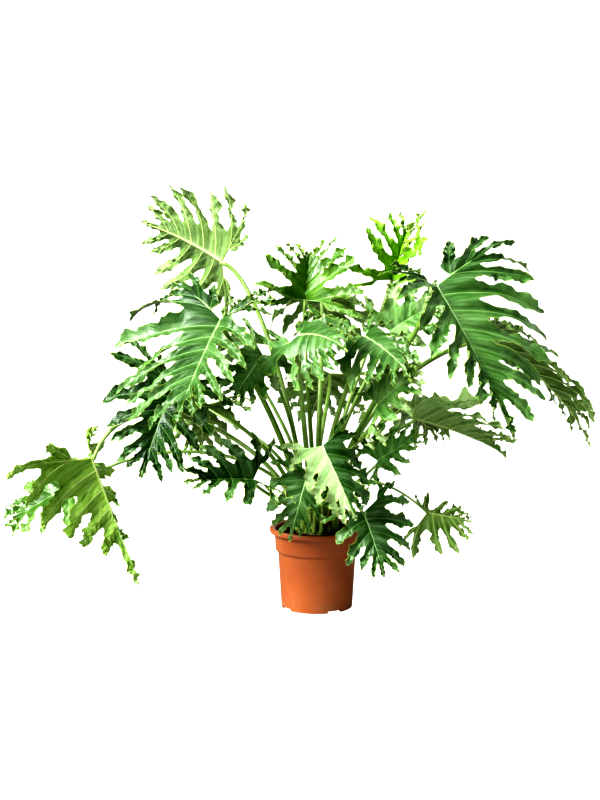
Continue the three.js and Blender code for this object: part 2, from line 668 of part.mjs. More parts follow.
LEAVES.forEach((given, i) => {
  const number = String(i + 1).padStart(2, '0');
  const leaf = { ...LEAF_DEFAULTS, ...given };
  addPiece(`blade_${number}`, bladeGeometry(leaf), 0x2f7a33, 0.4);
  addPiece(`stalk_${number}`, stalkGeometry(leaf), 0x7fa650, 0.55);
});

export default part;
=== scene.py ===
"""A philodendron selloum in its nursery pot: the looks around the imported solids.

Metres, +Z up, the front looks along -Y. The leaves' sizes are the CAD part's own, in millimetres.
"""

import math
import random

import bpy
import numpy as np
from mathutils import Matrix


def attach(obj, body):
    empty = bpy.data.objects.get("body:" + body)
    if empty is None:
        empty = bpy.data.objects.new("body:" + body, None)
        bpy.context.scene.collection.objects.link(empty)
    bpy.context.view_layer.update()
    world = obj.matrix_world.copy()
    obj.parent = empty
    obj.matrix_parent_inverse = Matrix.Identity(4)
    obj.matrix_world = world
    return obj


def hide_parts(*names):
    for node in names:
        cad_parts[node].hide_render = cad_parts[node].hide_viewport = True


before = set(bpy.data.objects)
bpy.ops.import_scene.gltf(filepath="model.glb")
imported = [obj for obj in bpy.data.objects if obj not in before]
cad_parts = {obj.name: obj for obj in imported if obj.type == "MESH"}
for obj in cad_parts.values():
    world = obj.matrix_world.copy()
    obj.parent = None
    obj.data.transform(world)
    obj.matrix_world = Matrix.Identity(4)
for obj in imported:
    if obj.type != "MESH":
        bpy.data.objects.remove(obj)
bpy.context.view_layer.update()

MM = 0.001

# ---------------------------------------------------------------- leaf forms and leaves
# The same flat forms as the solids have. Lengths are shares of the midrib, and a lobe is
# [where it starts along its rib, its angle from the midrib, its length]. sinus, ear and
# shoulder start on the rib behind the stalk's end, sides on the midrib, and end is where the
# last lobe starts. steps are where a margin's waves turn, columns where the points across a
# lobe's half lie, and free_rows and teeth count the rows and teeth along its free part.

FORMS = {
    "grown": {
        "costa": 0.30,
        "sinus": [[0.4, 172, 0.27], [0.8, 150, 0.36]],
        "ear": [1.0, 127, 0.42],
        "shoulder": [[0.8, 108, 0.52], [0.4, 96, 0.6]],
        "sides": [[0.07, 76, 0.66], [0.18, 69, 0.68], [0.3, 63, 0.64], [0.42, 57, 0.57],
                  [0.54, 50, 0.48], [0.66, 43, 0.37]],
        "end": 0.75,
        "steps": [0.34, 0.70],
        "free_rows": 28,
        "columns": [0.05, 0.12, 0.26, 0.44, 0.62, 0.80, 0.93, 1.0],
        "teeth": 3,
    },
    "young": {
        "costa": 0.26,
        "sinus": [[0.55, 160, 0.3]],
        "ear": [1.0, 128, 0.42],
        "shoulder": [[0.55, 103, 0.56]],
        "sides": [[0.1, 78, 0.65], [0.25, 69, 0.64], [0.4, 60, 0.56], [0.54, 51, 0.46],
                  [0.67, 43, 0.35]],
        "end": 0.76,
        "steps": [0.34, 0.70],
        "free_rows": 24,
        "columns": [0.05, 0.13, 0.30, 0.50, 0.70, 0.88, 1.0],
        "teeth": 2,
    },
    "small": {
        "costa": 0.24,
        "sinus": [],
        "ear": [1.0, 136, 0.44],
        "shoulder": [[0.5, 106, 0.54]],
        "sides": [[0.12, 78, 0.61], [0.31, 65, 0.57], [0.5, 52, 0.47], [0.66, 42, 0.35]],
        "end": 0.74,
        "steps": [0.50],
        "free_rows": 22,
        "columns": [0.06, 0.16, 0.36, 0.58, 0.82, 1.0],
        "teeth": 2,
    },
}

# a young leaf with fewer side lobes and a long end lobe
FORMS["tailed"] = {
    **FORMS["young"],
    "ear": [1.0, 128, 0.46],
    "shoulder": [[0.55, 103, 0.6]],
    "sides": [[0.1, 82, 0.62], [0.25, 76, 0.5], [0.4, 66, 0.36], [0.53, 54, 0.25]],
    "end": 0.64,
}

# What every leaf gives. attach and tip are the midrib's ends, and face is where the upper side
# looks. In degrees, left and right are the folds of the two halves, arch bends the midrib, curl
# rolls both halves, and ears bends the part behind the stalk's end. foot is the stalk's distance
# and azimuth on the crown, and via its last bend.

LEAF_KEYS = [
    "form", "seed", "attach", "tip", "face", "left", "right", "arch", "curl", "ears", "foot", "via",
]

# What a leaf names where it differs from these. costa is the angle of the rib behind the
# stalk's end, and spread lengthens the lobes of the left and right half. The stalk rises
# straight up over rise, drop moves its upper end away from the blade, and thick is its radius
# at both ends.
# cut is how far the web reaches out along a lobe, droop sags its end, and breadth widens it.
# wave and ruffle are the heights of the margin's large and small waves, and quilt is how high
# the blade swells between its side veins. tone runs from 0, dark, to 1, pale green; besides the
# leaf's own green it holds painted light and shade, raised on leaves that the lamps leave too dark
# and lowered on leaves that stand in shade. halves adds painted light or shade to the left and right
# half, and rear adds painted shade behind the stalk's end, where the blade is folded away from the
# light. fresh turns a pale leaf from sage to lime, and stem is the stalk's tone.

LEAF_DEFAULTS = {
    "costa": 118, "spread": (1, 1), "rise": 200, "drop": 0, "thick": (8, 4), "cut": 0.34, "droop": 0.1,
    "wave": 6, "ruffle": 6.0, "quilt": 1.2, "breadth": 1.0, "tone": 0.5, "halves": (0, 0), "rear": 0,
    "fresh": 0, "stem": 0.45,
}

LEAVES = [
    # the first two leaves darken their parts behind the stalk's end with painted shade (rear)
    ("grown", 14, (290, -90, 826), (476, -200, 465), (0.1, -1, 0.35), -6, 50, 34, 24, 20, (29, 345),
     (262, -10, 690), dict(costa=106, spread=(1, 0.55), thick=(9, 7), cut=0.26, breadth=1.2, tone=0.58,
     rear=-0.4, stem=0.3)),
    ("grown", 23, (-236, -120, 745), (-345, -290, 500), (-0.1, -1, 0.45), 40, -4, 30, 26, 10, (48, 218),
     (-200, 30, 640), dict(costa=126, spread=(0.65, 1.3), drop=-0.8, thick=(9, 6.5), cut=0.28,
     breadth=1.05, tone=0.42, rear=-0.38, stem=0.2)),
    ("young", 37, (-242, 130, 867), (-462, 290, 960), (0.68, 0.55, 0.49), 35, -10, 16, 10, 0, (29, 165),
     (-150, 130, 860), dict(costa=100, spread=(0.95, 1), drop=1.1, thick=(8, 6), quilt=2, tone=0.3,
     stem=0.9)),
    ("tailed", 41, (-562, -60, 393), (-442, -110, 83), (-0.3, 1, 0.2), -10, 85, 30, 40, 10, (48, 176),
     (-480, 20, 640), dict(costa=108, spread=(1.1, 0.6), drop=-0.6, thick=(7.5, 5.5), droop=0.04,
     quilt=2.8, breadth=1.1, tone=0.86, fresh=0.7, stem=0.8)),
    ("small", 53, (-618, 95, 296), (-800, 60, 190), (-0.2, -0.5, 0.85), 10, 10, 24, 24, 10, (48, 156),
     (-420, 95, 450), dict(drop=0.2, thick=(5.5, 4), tone=0.28, fresh=0.5)),
    ("young", 67, (-363, -20, 563), (-440, -90, 348), (-0.1, -1, 0.3), 5, 25, 20, 20, 10, (48, 196),
     (-260, 10, 520), dict(thick=(7, 5), breadth=1.1, tone=0.0, stem=0.15)),
    ("small", 71, (-157, -190, 362), (-320, -280, 375), (0, -0.3, 0.95), 5, 60, 10, 10, 0, (48, 240),
     (-105, -130, 290), dict(rise=60, drop=-1.2, thick=(6, 4), tone=0.12, stem=0.2)),
    # painted shade on one half of this leaf and painted light on the other (halves)
    ("small", 87, (10, -210, 449), (91, -300, 285), (0, -1, 0.5), -20, -30, 26, 26, -20, (48, 284),
     (10, -150, 440), dict(drop=1.8, thick=(6, 4.5), breadth=1.15, tone=0.4, halves=(-0.3, 0.6))),
    ("small", 91, (-24, -140, 372), (-70, -180, 205), (0, -1, 0.3), -10, -10, 20, 20, 10, (48, 262),
     (-10, -120, 380), dict(spread=(0.8, 1), drop=0.8, thick=(5.5, 3.5))),
    ("small", 101, (112, -176, 278), (162, -241, 131), (0.1, -1, 0.5), 5, 5, 30, 20, -10, (48, 306),
     (90, -140, 300), dict(spread=(1.2, 1.0), thick=(5.5, 3.5), breadth=1.1, tone=0.25)),
    ("small", 103, (276, -40, 249), (388, -70, 233), (0, 0.95, 0.2), -5, 85, 12, 16, 0, (48, 328),
     (200, -175, 350), dict(spread=(1.5, 1), drop=-0.5, thick=(4.5, 2.8), tone=0.45, fresh=0.4,
     stem=0.6)),
    ("small", 107, (152, -28, 380), (270, -68, 457), (-0.2, -0.8, 0.6), 20, 20, 16, 10, 0, (48, 348),
     (110, -30, 320), dict(rise=110, thick=(5.5, 3.5), quilt=2, tone=0.7)),
    # painted light on one half of this leaf (halves), which the lamps leave dark
    ("young", 109, (240, -20, 487), (486, 60, 379), (0.1, 0.9, 0.5), 80, -10, 24, 20, 0, (48, 8),
     (140, 30, 410), dict(spread=(0.85, 1), drop=-0.9, thick=(7, 5), quilt=2.2, breadth=1.1, tone=0.72,
     halves=(0.28, 0.0), stem=0.7)),
    ("small", 113, (143, -260, 557), (243, -330, 646), (-0.3, -0.6, 0.75), 10, 10, 20, 20, 0, (29, 309),
     (135, -165, 450), dict(spread=(1.1, 1.1), drop=-0.7, thick=(6, 4), cut=0.5, ruffle=8, quilt=2.2,
     breadth=1.1, tone=0.82, stem=0.8)),
    ("young", 127, (112, -200, 713), (215, -390, 640), (0, -0.35, 0.95), 5, -10, 26, 24, -90, (29, 273),
     (95, -130, 640), dict(costa=140, spread=(0.68, 1), thick=(8, 6), tone=0.45, stem=0.55)),
    ("young", 131, (-45, -210, 718), (62, -400, 710), (0, -0.35, 0.95), 15, -45, 30, 24, -80, (29, 237),
     (-60, -130, 640), dict(costa=140, spread=(0.9, 1), drop=0.8, thick=(8, 6), cut=0.36, breadth=1.1,
     tone=0.45, stem=0.55)),
    ("small", 137, (-30, 60, 775), (-20, 200, 890), (0, -0.6, 0.8), 50, 40, 12, 10, 0, (10, 120),
     (-40, 60, 650), dict(spread=(1.3, 1.5), drop=-2.5, thick=(7, 5), cut=0.36, tone=0.4, fresh=0.7)),
    ("small", 140, (196, 200, 815), (250, 310, 955), (-0.1, -0.65, 0.7), 60, 60, 20, 16, 0, (29, 57),
     (146, 155, 655), dict(spread=(1.3, 1.3), drop=-0.4, thick=(7, 5), cut=0.26, tone=1.0, fresh=1,
     stem=0.7)),
    ("small", 149, (185, 40, 700), (350, 10, 790), (-0.4, -0.7, 0.6), 30, 10, 24, 20, 0, (10, 0),
     (140, 50, 600), dict(drop=-0.15, thick=(7, 5), ruffle=8, quilt=2.2, tone=0.82, stem=0.5)),
    ("grown", 151, (447, 190, 669), (735, 260, 372), (0.5, 0.7, 0.5), 50, -10, 34, 24, 0, (48, 30),
     (262, 197, 640), dict(spread=(0.8, 0.75), rise=250, drop=-1.6, thick=(9, 6.5), cut=0.28, tone=0.3,
     stem=0.5)),
    ("small", 157, (-135, -80, 655), (-210, -110, 545), (0, -1, 0.4), 0, 0, 26, 26, -20, (29, 201),
     (-100, -40, 600), dict(spread=(1.2, 1.2), drop=0.3, thick=(6, 4), cut=0.42, ruffle=9, quilt=2.2,
     tone=0.78, stem=0.2)),
    ("small", 163, (-205, 220, 640), (-330, 350, 620), (-0.2, 0.1, 1), 10, 10, 26, 20, 0, (29, 129),
     (-160, 170, 560), dict(spread=(1.1, 1.1), drop=-0.8, thick=(6, 4), tone=0.35)),
    ("small", 167, (37, 300, 556), (-20, 440, 400), (0, 0.8, 0.6), 0, 0, 26, 24, 0, (48, 100),
     (40, 230, 500), dict(thick=(7, 5), tone=0.4, stem=0.6)),
    ("small", 173, (-290, 240, 481), (-310, 350, 330), (-0.2, 0.8, 0.6), 0, 0, 24, 24, 0, (48, 134),
     (-220, 190, 430), dict(thick=(6, 4), tone=0.3)),
    ("young", 179, (15, 310, 750), (65, 465, 600), (0.1, 0.7, 0.7), 0, 0, 34, 24, 0, (29, 93),
     (20, 225, 660), dict(drop=0.2, thick=(8, 6), stem=0.6)),
    ("small", 181, (220, 250, 470), (330, 360, 370), (0.3, 0.5, 0.8), 0, 0, 26, 24, 0, (48, 60),
     (150, 180, 420), dict(spread=(1.1, 1.1), thick=(6, 4), tone=0.4)),
]

# how a lobe is drawn, as in the solids
LOBE_TURN = 24
LOBE_TURN_SPREAD = 4
LOBE_LENGTH_SPREAD = 0.1
LOBE_DROOP_SPREAD = 0.09
LOBE_SWELL = [0.62, 0.52]
SWELL_SPREAD = [0.1, 0.12]
WAVE_STEP = 2.4
WAVE_SHIFT = 2
STEEPEST = 176
COSTA_ANGLE = 118
PLEAT = 0.5
SOLID_THICKNESS = 1.2 * MM
SOLID_RIB_DEPTH = 2 * MM
CROWN_TOP = 204 * MM
FIT_GAP = 0.3 * MM
# over how much of the midrib the halves' curl and the part behind the stalk's end are bent
CURL_REACH = 0.6
EAR_REACH = 0.5

# what only the looks have
BLADE_HALF = 0.36 * MM
QUILT_STEP = 21 * MM
QUILT_SLANT = 0.9
# the quilting fades where half a lobe is narrower than this
QUILT_NARROW = 6 * MM
NARROWEST_HALF = 0.6 * MM
THINNEST_VEIN = 0.45 * MM
VEIN_SHARE = 0.0042
# a lobe's half width over its free part, as a share of half the gap between the veins at the web
OUTLINE_STEPS = [0, 0.04, 0.10, 0.20, 0.40, 0.62, 0.80, 0.92, 0.97, 1]
OUTLINE_SHARES = np.array([1.0, 0.80, 0.66, 0.57, 0.60, 0.60, 0.46, 0.28, 0.16, 0.04])
# the ribs' half widths at the stalk, as shares of its radius, and how much of it they lose
RIB_SHARE = 0.6
RIB_TAPER = 0.86
COSTA_SHARE = 0.8
COSTA_TAPER = 0.75
# where the painted shade behind the stalk's end starts, over how much of the midrib it fades in, and how
# pale tips are
REAR_START = 0.20
REAR_FADE = 0.30
TIP_PALING = 0.25
TOOTH_LEAN = 0.6
# how far out a free margin still leans to the line it comes from
WEB_BLEND = 0.3
VEIN_TAPER = 0.7
VEIN_RELIEF = 0.9
TIP_EDGE = 0.5 * MM
# where the rows of points lie inside the web, and how they crowd along the free part
WEB_SHARES = [0.0, 0.018, 0.045, 0.08, 0.16, 0.32, 0.54, 0.77]
ROW_CROWDING = 1.2


def seeded_draws(seed):
    """Park and Miller's generator, as in the solids: draws from -1 to 1."""
    state = seed

    def draw():
        nonlocal state
        state = state * 16807 % 2147483647
        return 2 * state / 2147483647 - 1

    return draw


def unit(v):
    return v / np.linalg.norm(v)


def smooth(x):
    """0 below 0, 1 above 1, and a soft way between."""
    x = np.clip(x, 0, 1)
    return x * x * (3 - 2 * x)


# ---------------------------------------------------------------- meshes

def new_object(name, points, faces, materials, face_slots=None, attributes=None, sharp=None, *, slot):
    """A smooth mesh object. attributes are corner vectors: name to one [x, y, z] a corner."""
    mesh = bpy.data.meshes.new(name)
    points = np.asarray(points, dtype=np.float64)
    mesh.from_pydata(points.tolist(), [], [list(map(int, f)) for f in faces])
    for material in materials:
        mesh.materials.append(material)
    mesh.polygons.foreach_set("use_smooth", [True] * len(mesh.polygons))
    if face_slots is not None:
        mesh.polygons.foreach_set("material_index", list(map(int, face_slots)))
    for key, values in (attributes or {}).items():
        layer = mesh.attributes.new(key, "FLOAT_VECTOR", "CORNER")
        layer.data.foreach_set("vector", np.asarray(values, dtype=np.float32).ravel())
    if sharp:
        flags = [tuple(sorted(edge.vertices)) in sharp for edge in mesh.edges]
        layer = mesh.attributes.get("sharp_edge") or mesh.attributes.new("sharp_edge", "BOOLEAN", "EDGE")
        layer.data.foreach_set("value", flags)
    mesh.update()
    piece = bpy.data.objects.new(name, mesh)
    bpy.context.scene.collection.objects.link(piece)
    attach(piece, "root")
    return piece


def grid_faces(rows, columns, closed=False):
    """Quads of a grid of rows, each with columns points, as rings if closed."""
    faces = []
    last = columns if closed else columns - 1
    for i in range(rows - 1):
        for j in range(last):
            k = (j + 1) % columns
            faces.append([i * columns + j, i * columns + k, (i + 1) * columns + k, (i + 1) * columns + j])
    return faces


# ---------------------------------------------------------------- node materials

class Shader:
    """A short way to write a node material."""

    def __init__(self, name):
        self.material = bpy.data.materials.new(name)
        self.material.use_nodes = True
        self.tree = self.material.node_tree
        self.surface = self.tree.nodes["Principled BSDF"]

    def put(self, socket, value):
        if isinstance(value, bpy.types.NodeSocket):
            self.tree.links.new(value, socket)
        else:
            socket.default_value = value

    def node(self, kind, *inputs, **settings):
        made = self.tree.nodes.new(kind)
        for key, value in settings.items():
            setattr(made, key, value)
        for index, value in enumerate(inputs):
            if value is not None:
                self.put(made.inputs[index], value)
        return made

    def math(self, operation, *values):
        return self.node("ShaderNodeMath", *values, operation=operation).outputs[0]

    def times(self, a, b):
        return self.math("MULTIPLY", a, b)

    def sum(self, first, *others):
        for other in others:
            first = self.math("ADD", first, other)
        return first

    def attribute(self, name):
        source = self.node("ShaderNodeAttribute", attribute_name=name)
        return self.node("ShaderNodeSeparateXYZ", source.outputs["Vector"]).outputs

    def place(self):
        return self.node("ShaderNodeTexCoord").outputs["Object"]

    def noise(self, scale, detail=2.0, roughness=0.5, vector=None):
        made = self.node("ShaderNodeTexNoise")
        self.put(made.inputs["Vector"], vector or self.place())
        made.inputs["Scale"].default_value = scale
        made.inputs["Detail"].default_value = detail
        made.inputs["Roughness"].default_value = roughness
        return made.outputs[0]

    def vector(self, x, y, z):
        return self.node("ShaderNodeCombineXYZ", x, y, z).outputs[0]

    def drawn_noise(self, skin, around, along, detail, roughness):
        """Noise along a stalk or sheath, with its own scale round it and along it."""
        return self.noise(1.0, detail, roughness, self.vector(
            self.times(skin[0], around), self.times(skin[1], along), skin[2]))

    def fade(self, value, start, end, low=0.0, high=1.0):
        """low below start, high above end, softly between. start may be above end."""
        made = self.node("ShaderNodeMapRange", value, interpolation_type="SMOOTHSTEP")
        if start > end:
            start, end, low, high = end, start, high, low
        for index, number in enumerate([start, end, low, high], 1):
            made.inputs[index].default_value = number
        return made.outputs[0]

    def mix(self, factor, a, b):
        made = self.node("ShaderNodeMix", data_type="RGBA")
        self.put(made.inputs[0], factor)
        for socket, value in ((made.inputs[6], a), (made.inputs[7], b)):
            self.put(socket, value if isinstance(value, bpy.types.NodeSocket) else (*value, 1))
        return made.outputs[2]

    def coats(self, base, *coats):
        """Mixes one coat after another over the base. A coat is its share and its colour."""
        for share, color in coats:
            base = self.mix(share, base, color)
        return base

    def bump(self, height, distance, strength):
        made = self.node("ShaderNodeBump")
        made.inputs["Height"].default_value = 0
        self.put(made.inputs["Height"], height)
        made.inputs["Distance"].default_value = distance
        made.inputs["Strength"].default_value = strength
        return made.outputs[0]

    def finish(self, color, roughness, normal=None, **numbers):
        """The material. numbers are constants for the shader's own sockets."""
        self.put(self.surface.inputs["Base Color"], color)
        self.put(self.surface.inputs["Roughness"], roughness)
        if normal is not None:
            self.put(self.surface.inputs["Normal"], normal)
        for key, value in numbers.items():
            self.surface.inputs[key.replace("_", " ")].default_value = value
        return self.material


# the fine side veins of a lobe, in millimetres, and their slant to its vein
SIDE_VEIN_SPACING = 4.2
SIDE_VEIN_WOBBLE = 5.0
SIDE_VEIN_SLANT = 1.1

# light that shines through a thin blade
LEAF_GLOW = {"Subsurface_Weight": 0.3, "Subsurface_Scale": 1.6 * MM, "Subsurface_Radius": (0.6, 1.0, 0.3)}


def leaf_veins(shader):
    """Masks that the two sides of a blade share, from the leaf's own flat plan."""
    off, along, vein = shader.attribute("vein")
    edge, rib, tone = shader.attribute("zone")
    # side veins leave a lobe's vein at a slant and run to its margins
    start = shader.math("SUBTRACT", along, shader.times(off, SIDE_VEIN_SLANT))
    start = shader.sum(start, shader.times(shader.noise(60.0, 2.0), SIDE_VEIN_WOBBLE))
    between = shader.math("PINGPONG", start, SIDE_VEIN_SPACING)
    # streaks of painted sheen and painted fold shade run along a lobe, and differ from leaf to leaf by its
    # place
    lobe = shader.vector(shader.times(off, 0.11), shader.times(along, 0.016), tone)
    place = shader.node("ShaderNodeVectorMath", lobe, shader.place(), operation="ADD").outputs[0]
    place = shader.vector(*shader.node("ShaderNodeSeparateXYZ", place).outputs)
    return {
        "tone": tone,
        "fresh": shader.attribute("hue")[0],
        "streak": shader.noise(1.0, 2.0, 0.5, place),
        "side": shader.times(shader.fade(between, 0.8, 0.1), shader.fade(edge, 1.0, 6.0)),
        "vein": shader.fade(vein, 1.25, 0.75),
        "ridge": shader.fade(vein, 2.3, 1.3),
        "rib": shader.fade(rib, 1.1, 0.8),
        "halo": shader.fade(vein, 6.0, 1.0),
        "margin": shader.fade(edge, 1.7, 0.5),
        "bulge": shader.fade(between, 0.2, 2.6),
    }


def leaf_green(shader, mask, patches, dark, sage, lime):
    """A blade's green: dark, or pale and sage or lime, each in patches of two shades. Its tone holds
    painted light and shade besides the leaf's own green.
    """
    patch = shader.fade(shader.noise(patches, 3.0), 0.3, 0.7)
    dark, sage, lime = [shader.mix(patch, *shades) for shades in (dark, sage, lime)]
    return shader.mix(mask["tone"], dark, shader.mix(mask["fresh"], sage, lime))


def leaf_upper_material():
    shader = Shader("leaf_upper")
    mask = leaf_veins(shader)
    green = leaf_green(
        shader, mask, 11.0, ((0.003, 0.026, 0.001), (0.010, 0.054, 0.004)),
        ((0.088, 0.220, 0.036), (0.190, 0.345, 0.115)), ((0.120, 0.300, 0.010), (0.220, 0.420, 0.026)))
    fine = shader.fade(shader.noise(140.0, 2.0), 0.4, 0.75, 0.0, 0.2)
    # painted sheen: pale streaks along the lobes, stronger on pale leaves; painted fold shade: dark streaks
    # between them
    painted_sheen_streak = shader.times(
        shader.fade(mask["streak"], 0.50, 0.75), shader.math("MULTIPLY_ADD", mask["tone"], 0.6, 0.15))
    painted_shade_streak = shader.fade(mask["streak"], 0.48, 0.25, 0.0, 0.7)
    # the palest leaves are matte and greyish
    matte = shader.times(
        shader.fade(mask["tone"], 0.8, 1.0), shader.math("SUBTRACT", 1.0, mask["fresh"]))
    worn = shader.math("MULTIPLY_ADD", shader.fade(shader.noise(16.0, 3.0), 0.38, 0.62), 0.6, 0.2)
    color = shader.coats(
        green,
        (fine, (0.075, 0.200, 0.040)),
        (painted_sheen_streak, shader.mix(mask["fresh"], (0.215, 0.350, 0.175), (0.250, 0.430, 0.065))),
        (painted_shade_streak, (0.003, 0.032, 0.001)),
        (shader.times(matte, 0.85), (0.290, 0.380, 0.190)),
        (shader.times(mask["halo"], 0.25), (0.110, 0.250, 0.060)),
        (shader.times(mask["side"], 0.2), (0.180, 0.340, 0.120)),
        (shader.times(mask["vein"], 0.8), (0.260, 0.430, 0.170)),
        (mask["rib"], (0.290, 0.460, 0.190)),
        (shader.times(mask["margin"], worn), (0.400, 0.500, 0.130)))
    height = shader.sum(mask["bulge"], shader.times(mask["vein"], -0.8),
                        shader.times(shader.noise(300.0, 2.0), 0.25), shader.times(mask["streak"], 4.0))
    gloss = shader.fade(shader.noise(35.0, 2.0), 0.3, 0.7, 0.36, 0.48)
    gloss = shader.math("MULTIPLY_ADD", matte, 0.3, gloss)
    bump = shader.bump(height, 0.4 * MM, 0.5)
    return shader.finish(color, gloss, bump, Specular_IOR_Level=0.5, **LEAF_GLOW)


def leaf_under_material():
    shader = Shader("leaf_under")
    mask = leaf_veins(shader)
    green = leaf_green(
        shader, mask, 14.0, ((0.036, 0.076, 0.007), (0.074, 0.135, 0.018)),
        ((0.240, 0.380, 0.135), (0.370, 0.510, 0.235)), ((0.200, 0.370, 0.028), (0.320, 0.510, 0.070)))
    # painted sheen and painted fold shade: pale and dark streaks along the lobes
    color = shader.coats(
        green,
        (shader.fade(mask["streak"], 0.50, 0.75, 0.0, 0.5), (0.280, 0.410, 0.170)),
        (shader.fade(mask["streak"], 0.48, 0.25, 0.0, 0.7), (0.022, 0.066, 0.003)),
        (shader.times(mask["side"], 0.3), (0.380, 0.500, 0.210)),
        (mask["ridge"], (0.460, 0.560, 0.230)),
        (mask["rib"], (0.400, 0.500, 0.200)),
        (shader.times(mask["margin"], 0.5), (0.420, 0.500, 0.160)))
    height = shader.sum(shader.times(mask["bulge"], -0.7), mask["side"],
                        shader.times(shader.noise(300.0, 2.0), 0.3), shader.times(mask["streak"], 4.0))
    bump = shader.bump(height, 0.5 * MM, 0.5)
    return shader.finish(color, 0.5, bump, Specular_IOR_Level=0.35, **LEAF_GLOW)


def leaf_edge_material():
    shader = Shader("leaf_edge")
    worn = shader.fade(shader.noise(25.0, 3.0), 0.35, 0.65)
    color = shader.mix(worn, (0.240, 0.360, 0.040), (0.460, 0.540, 0.110))
    return shader.finish(color, 0.5)


def stalk_material():
    shader = Shader("stalk_skin")
    skin = shader.attribute("skin")
    tone = shader.attribute("shade")[0]
    streak = shader.drawn_noise(skin, 5.0, 18.0, 3.0, 0.6)
    sides = shader.fade(streak, 0.35, 0.65)
    dark = shader.mix(sides, (0.046, 0.118, 0.004), (0.122, 0.240, 0.018))
    pale = shader.mix(sides, (0.210, 0.340, 0.070), (0.340, 0.460, 0.190))
    foot = shader.mix(shader.fade(streak, 0.3, 0.7), (0.130, 0.220, 0.036), (0.320, 0.430, 0.130))
    fleck = shader.fade(shader.drawn_noise(skin, 16.0, 160.0, 2.0, 0.5), 0.66, 0.78, 0.0, 0.45)
    color = shader.coats(
        shader.mix(tone, dark, pale),
        (shader.fade(skin[1], 0.13, 0.0), foot), (fleck, (0.080, 0.130, 0.030)))
    furrow = shader.drawn_noise(skin, 22.0, 5.0, 1.0, 0.5)
    return shader.finish(color, 0.42, shader.bump(furrow, 0.4 * MM, 0.5), Specular_IOR_Level=0.5)


def crown_material():
    shader = Shader("crown_bark")
    patches = shader.fade(shader.noise(60.0, 4.0, 0.6), 0.35, 0.65)
    bark = shader.mix(patches, (0.070, 0.050, 0.022), (0.190, 0.200, 0.070))
    fine = shader.noise(500.0, 3.0, 0.6)
    color = shader.mix(shader.fade(fine, 0.45, 0.7, 0.0, 0.6), bark, (0.040, 0.025, 0.012))
    return shader.finish(color, 0.8, shader.bump(fine, 1.0 * MM, 0.8))


def dry_sheath_material():
    shader = Shader("dry_sheath")
    grain = shader.drawn_noise(shader.attribute("skin"), 24.0, 30.0, 3.0, 0.6)
    color = shader.mix(shader.fade(grain, 0.3, 0.7), (0.120, 0.062, 0.024), (0.340, 0.215, 0.100))
    return shader.finish(color, 0.75, shader.bump(grain, 0.6 * MM, 0.8))


def soil_material():
    shader = Shader("potting_soil")
    clumps = shader.noise(90.0, 5.0, 0.65)
    earth = shader.mix(shader.fade(clumps, 0.35, 0.68), (0.006, 0.004, 0.003), (0.048, 0.028, 0.016))
    fibre = shader.noise(700.0, 2.0, 0.6)
    color = shader.mix(shader.fade(fibre, 0.62, 0.75, 0.0, 0.7), earth, (0.140, 0.085, 0.045))
    height = shader.sum(clumps, shader.times(fibre, 0.4))
    return shader.finish(color, 0.93, shader.bump(height, 2.0 * MM, 0.9), Specular_IOR_Level=0.2)


def pot_material():
    """Moulded plastic: clouded, with specks, fine turned lines, and dust low on the wall."""
    shader = Shader("pot_plastic")
    cloud = shader.fade(shader.noise(7.0, 3.0), 0.3, 0.7)
    speck = shader.fade(shader.noise(240.0, 2.0, 0.5), 0.60, 0.72, 0.0, 0.35)
    height = shader.node("ShaderNodeSeparateXYZ", shader.place()).outputs[2]
    dust = shader.times(shader.fade(height, 0.045, 0.004), shader.fade(shader.noise(28.0, 4.0), 0.42, 0.66))
    color = shader.coats(
        shader.mix(cloud, (0.275, 0.080, 0.020), (0.330, 0.106, 0.030)),
        (speck, (0.205, 0.046, 0.007)), (shader.times(dust, 0.45), (0.270, 0.155, 0.075)))
    turned = shader.math("SINE", shader.times(height, 5200.0))
    relief = shader.sum(shader.times(turned, 0.12), shader.noise(1500.0, 2.0))
    rough = shader.fade(shader.noise(20.0, 3.0), 0.3, 0.7, 0.46, 0.58)
    return shader.finish(color, rough, shader.bump(relief, 0.15 * MM, 0.5), Specular_IOR_Level=0.6)


# ---------------------------------------------------------------- leaf blades

def bend_offset(start, slope, distance):
    """Where an even bend leads: forward and sideways."""
    end = start - slope * distance
    return (np.sin(start) - np.sin(end)) / slope, (np.cos(end) - np.cos(start)) / slope


def steady(slope):
    """A bend that is never quite straight, so that it can be divided by."""
    return slope if abs(slope) > 1e-4 else 1e-4


def rib_point(lobe, t):
    slope = steady(math.radians(lobe["turn"]) / lobe["length"])
    along, across = bend_offset(math.radians(lobe["angle"]), slope, lobe["length"] * np.asarray(t, float))
    return np.stack([lobe["base"][0] + across, lobe["base"][1] + along], -1)


def plan_lobe(base, angle, length, leaf, draw):
    is_end = angle == 0
    lobe = {"base": np.array(base, float)}
    lobe["angle"] = 0 if is_end else angle + LOBE_TURN_SPREAD * draw()
    lobe["turn"] = 0 if is_end else LOBE_TURN + LOBE_TURN_SPREAD * draw()
    lobe["length"] = length if is_end else length * (1 + LOBE_LENGTH_SPREAD * draw())
    lobe["droop"] = leaf["droop"] + LOBE_DROOP_SPREAD * draw()
    lobe["swell"] = [[s + d * draw() for s, d in zip(LOBE_SWELL, SWELL_SPREAD)] for _ in range(2)]
    lobe["phase"] = math.pi * draw()
    return lobe


def plan_half(leaf, form, side, midrib, draw):
    """The lobes of one half, from the gap behind the stalk round to the last before the tip."""
    spread = leaf["spread"][1 if side > 0 else 0] * midrib
    costa = form["costa"] * spread
    out = math.radians(leaf["costa"])
    behind = [
        plan_lobe(
            [share * costa * math.sin(out), share * costa * math.cos(out)],
            min(angle + leaf["costa"] - COSTA_ANGLE, STEEPEST), length * spread, leaf, draw)
        for share, angle, length in [*form["sinus"], form["ear"], *form["shoulder"]]
    ]
    ahead = [
        plan_lobe([0, share * midrib], angle, length * spread, leaf, draw)
        for share, angle, length in form["sides"]
    ]
    return behind + ahead, len(behind), costa


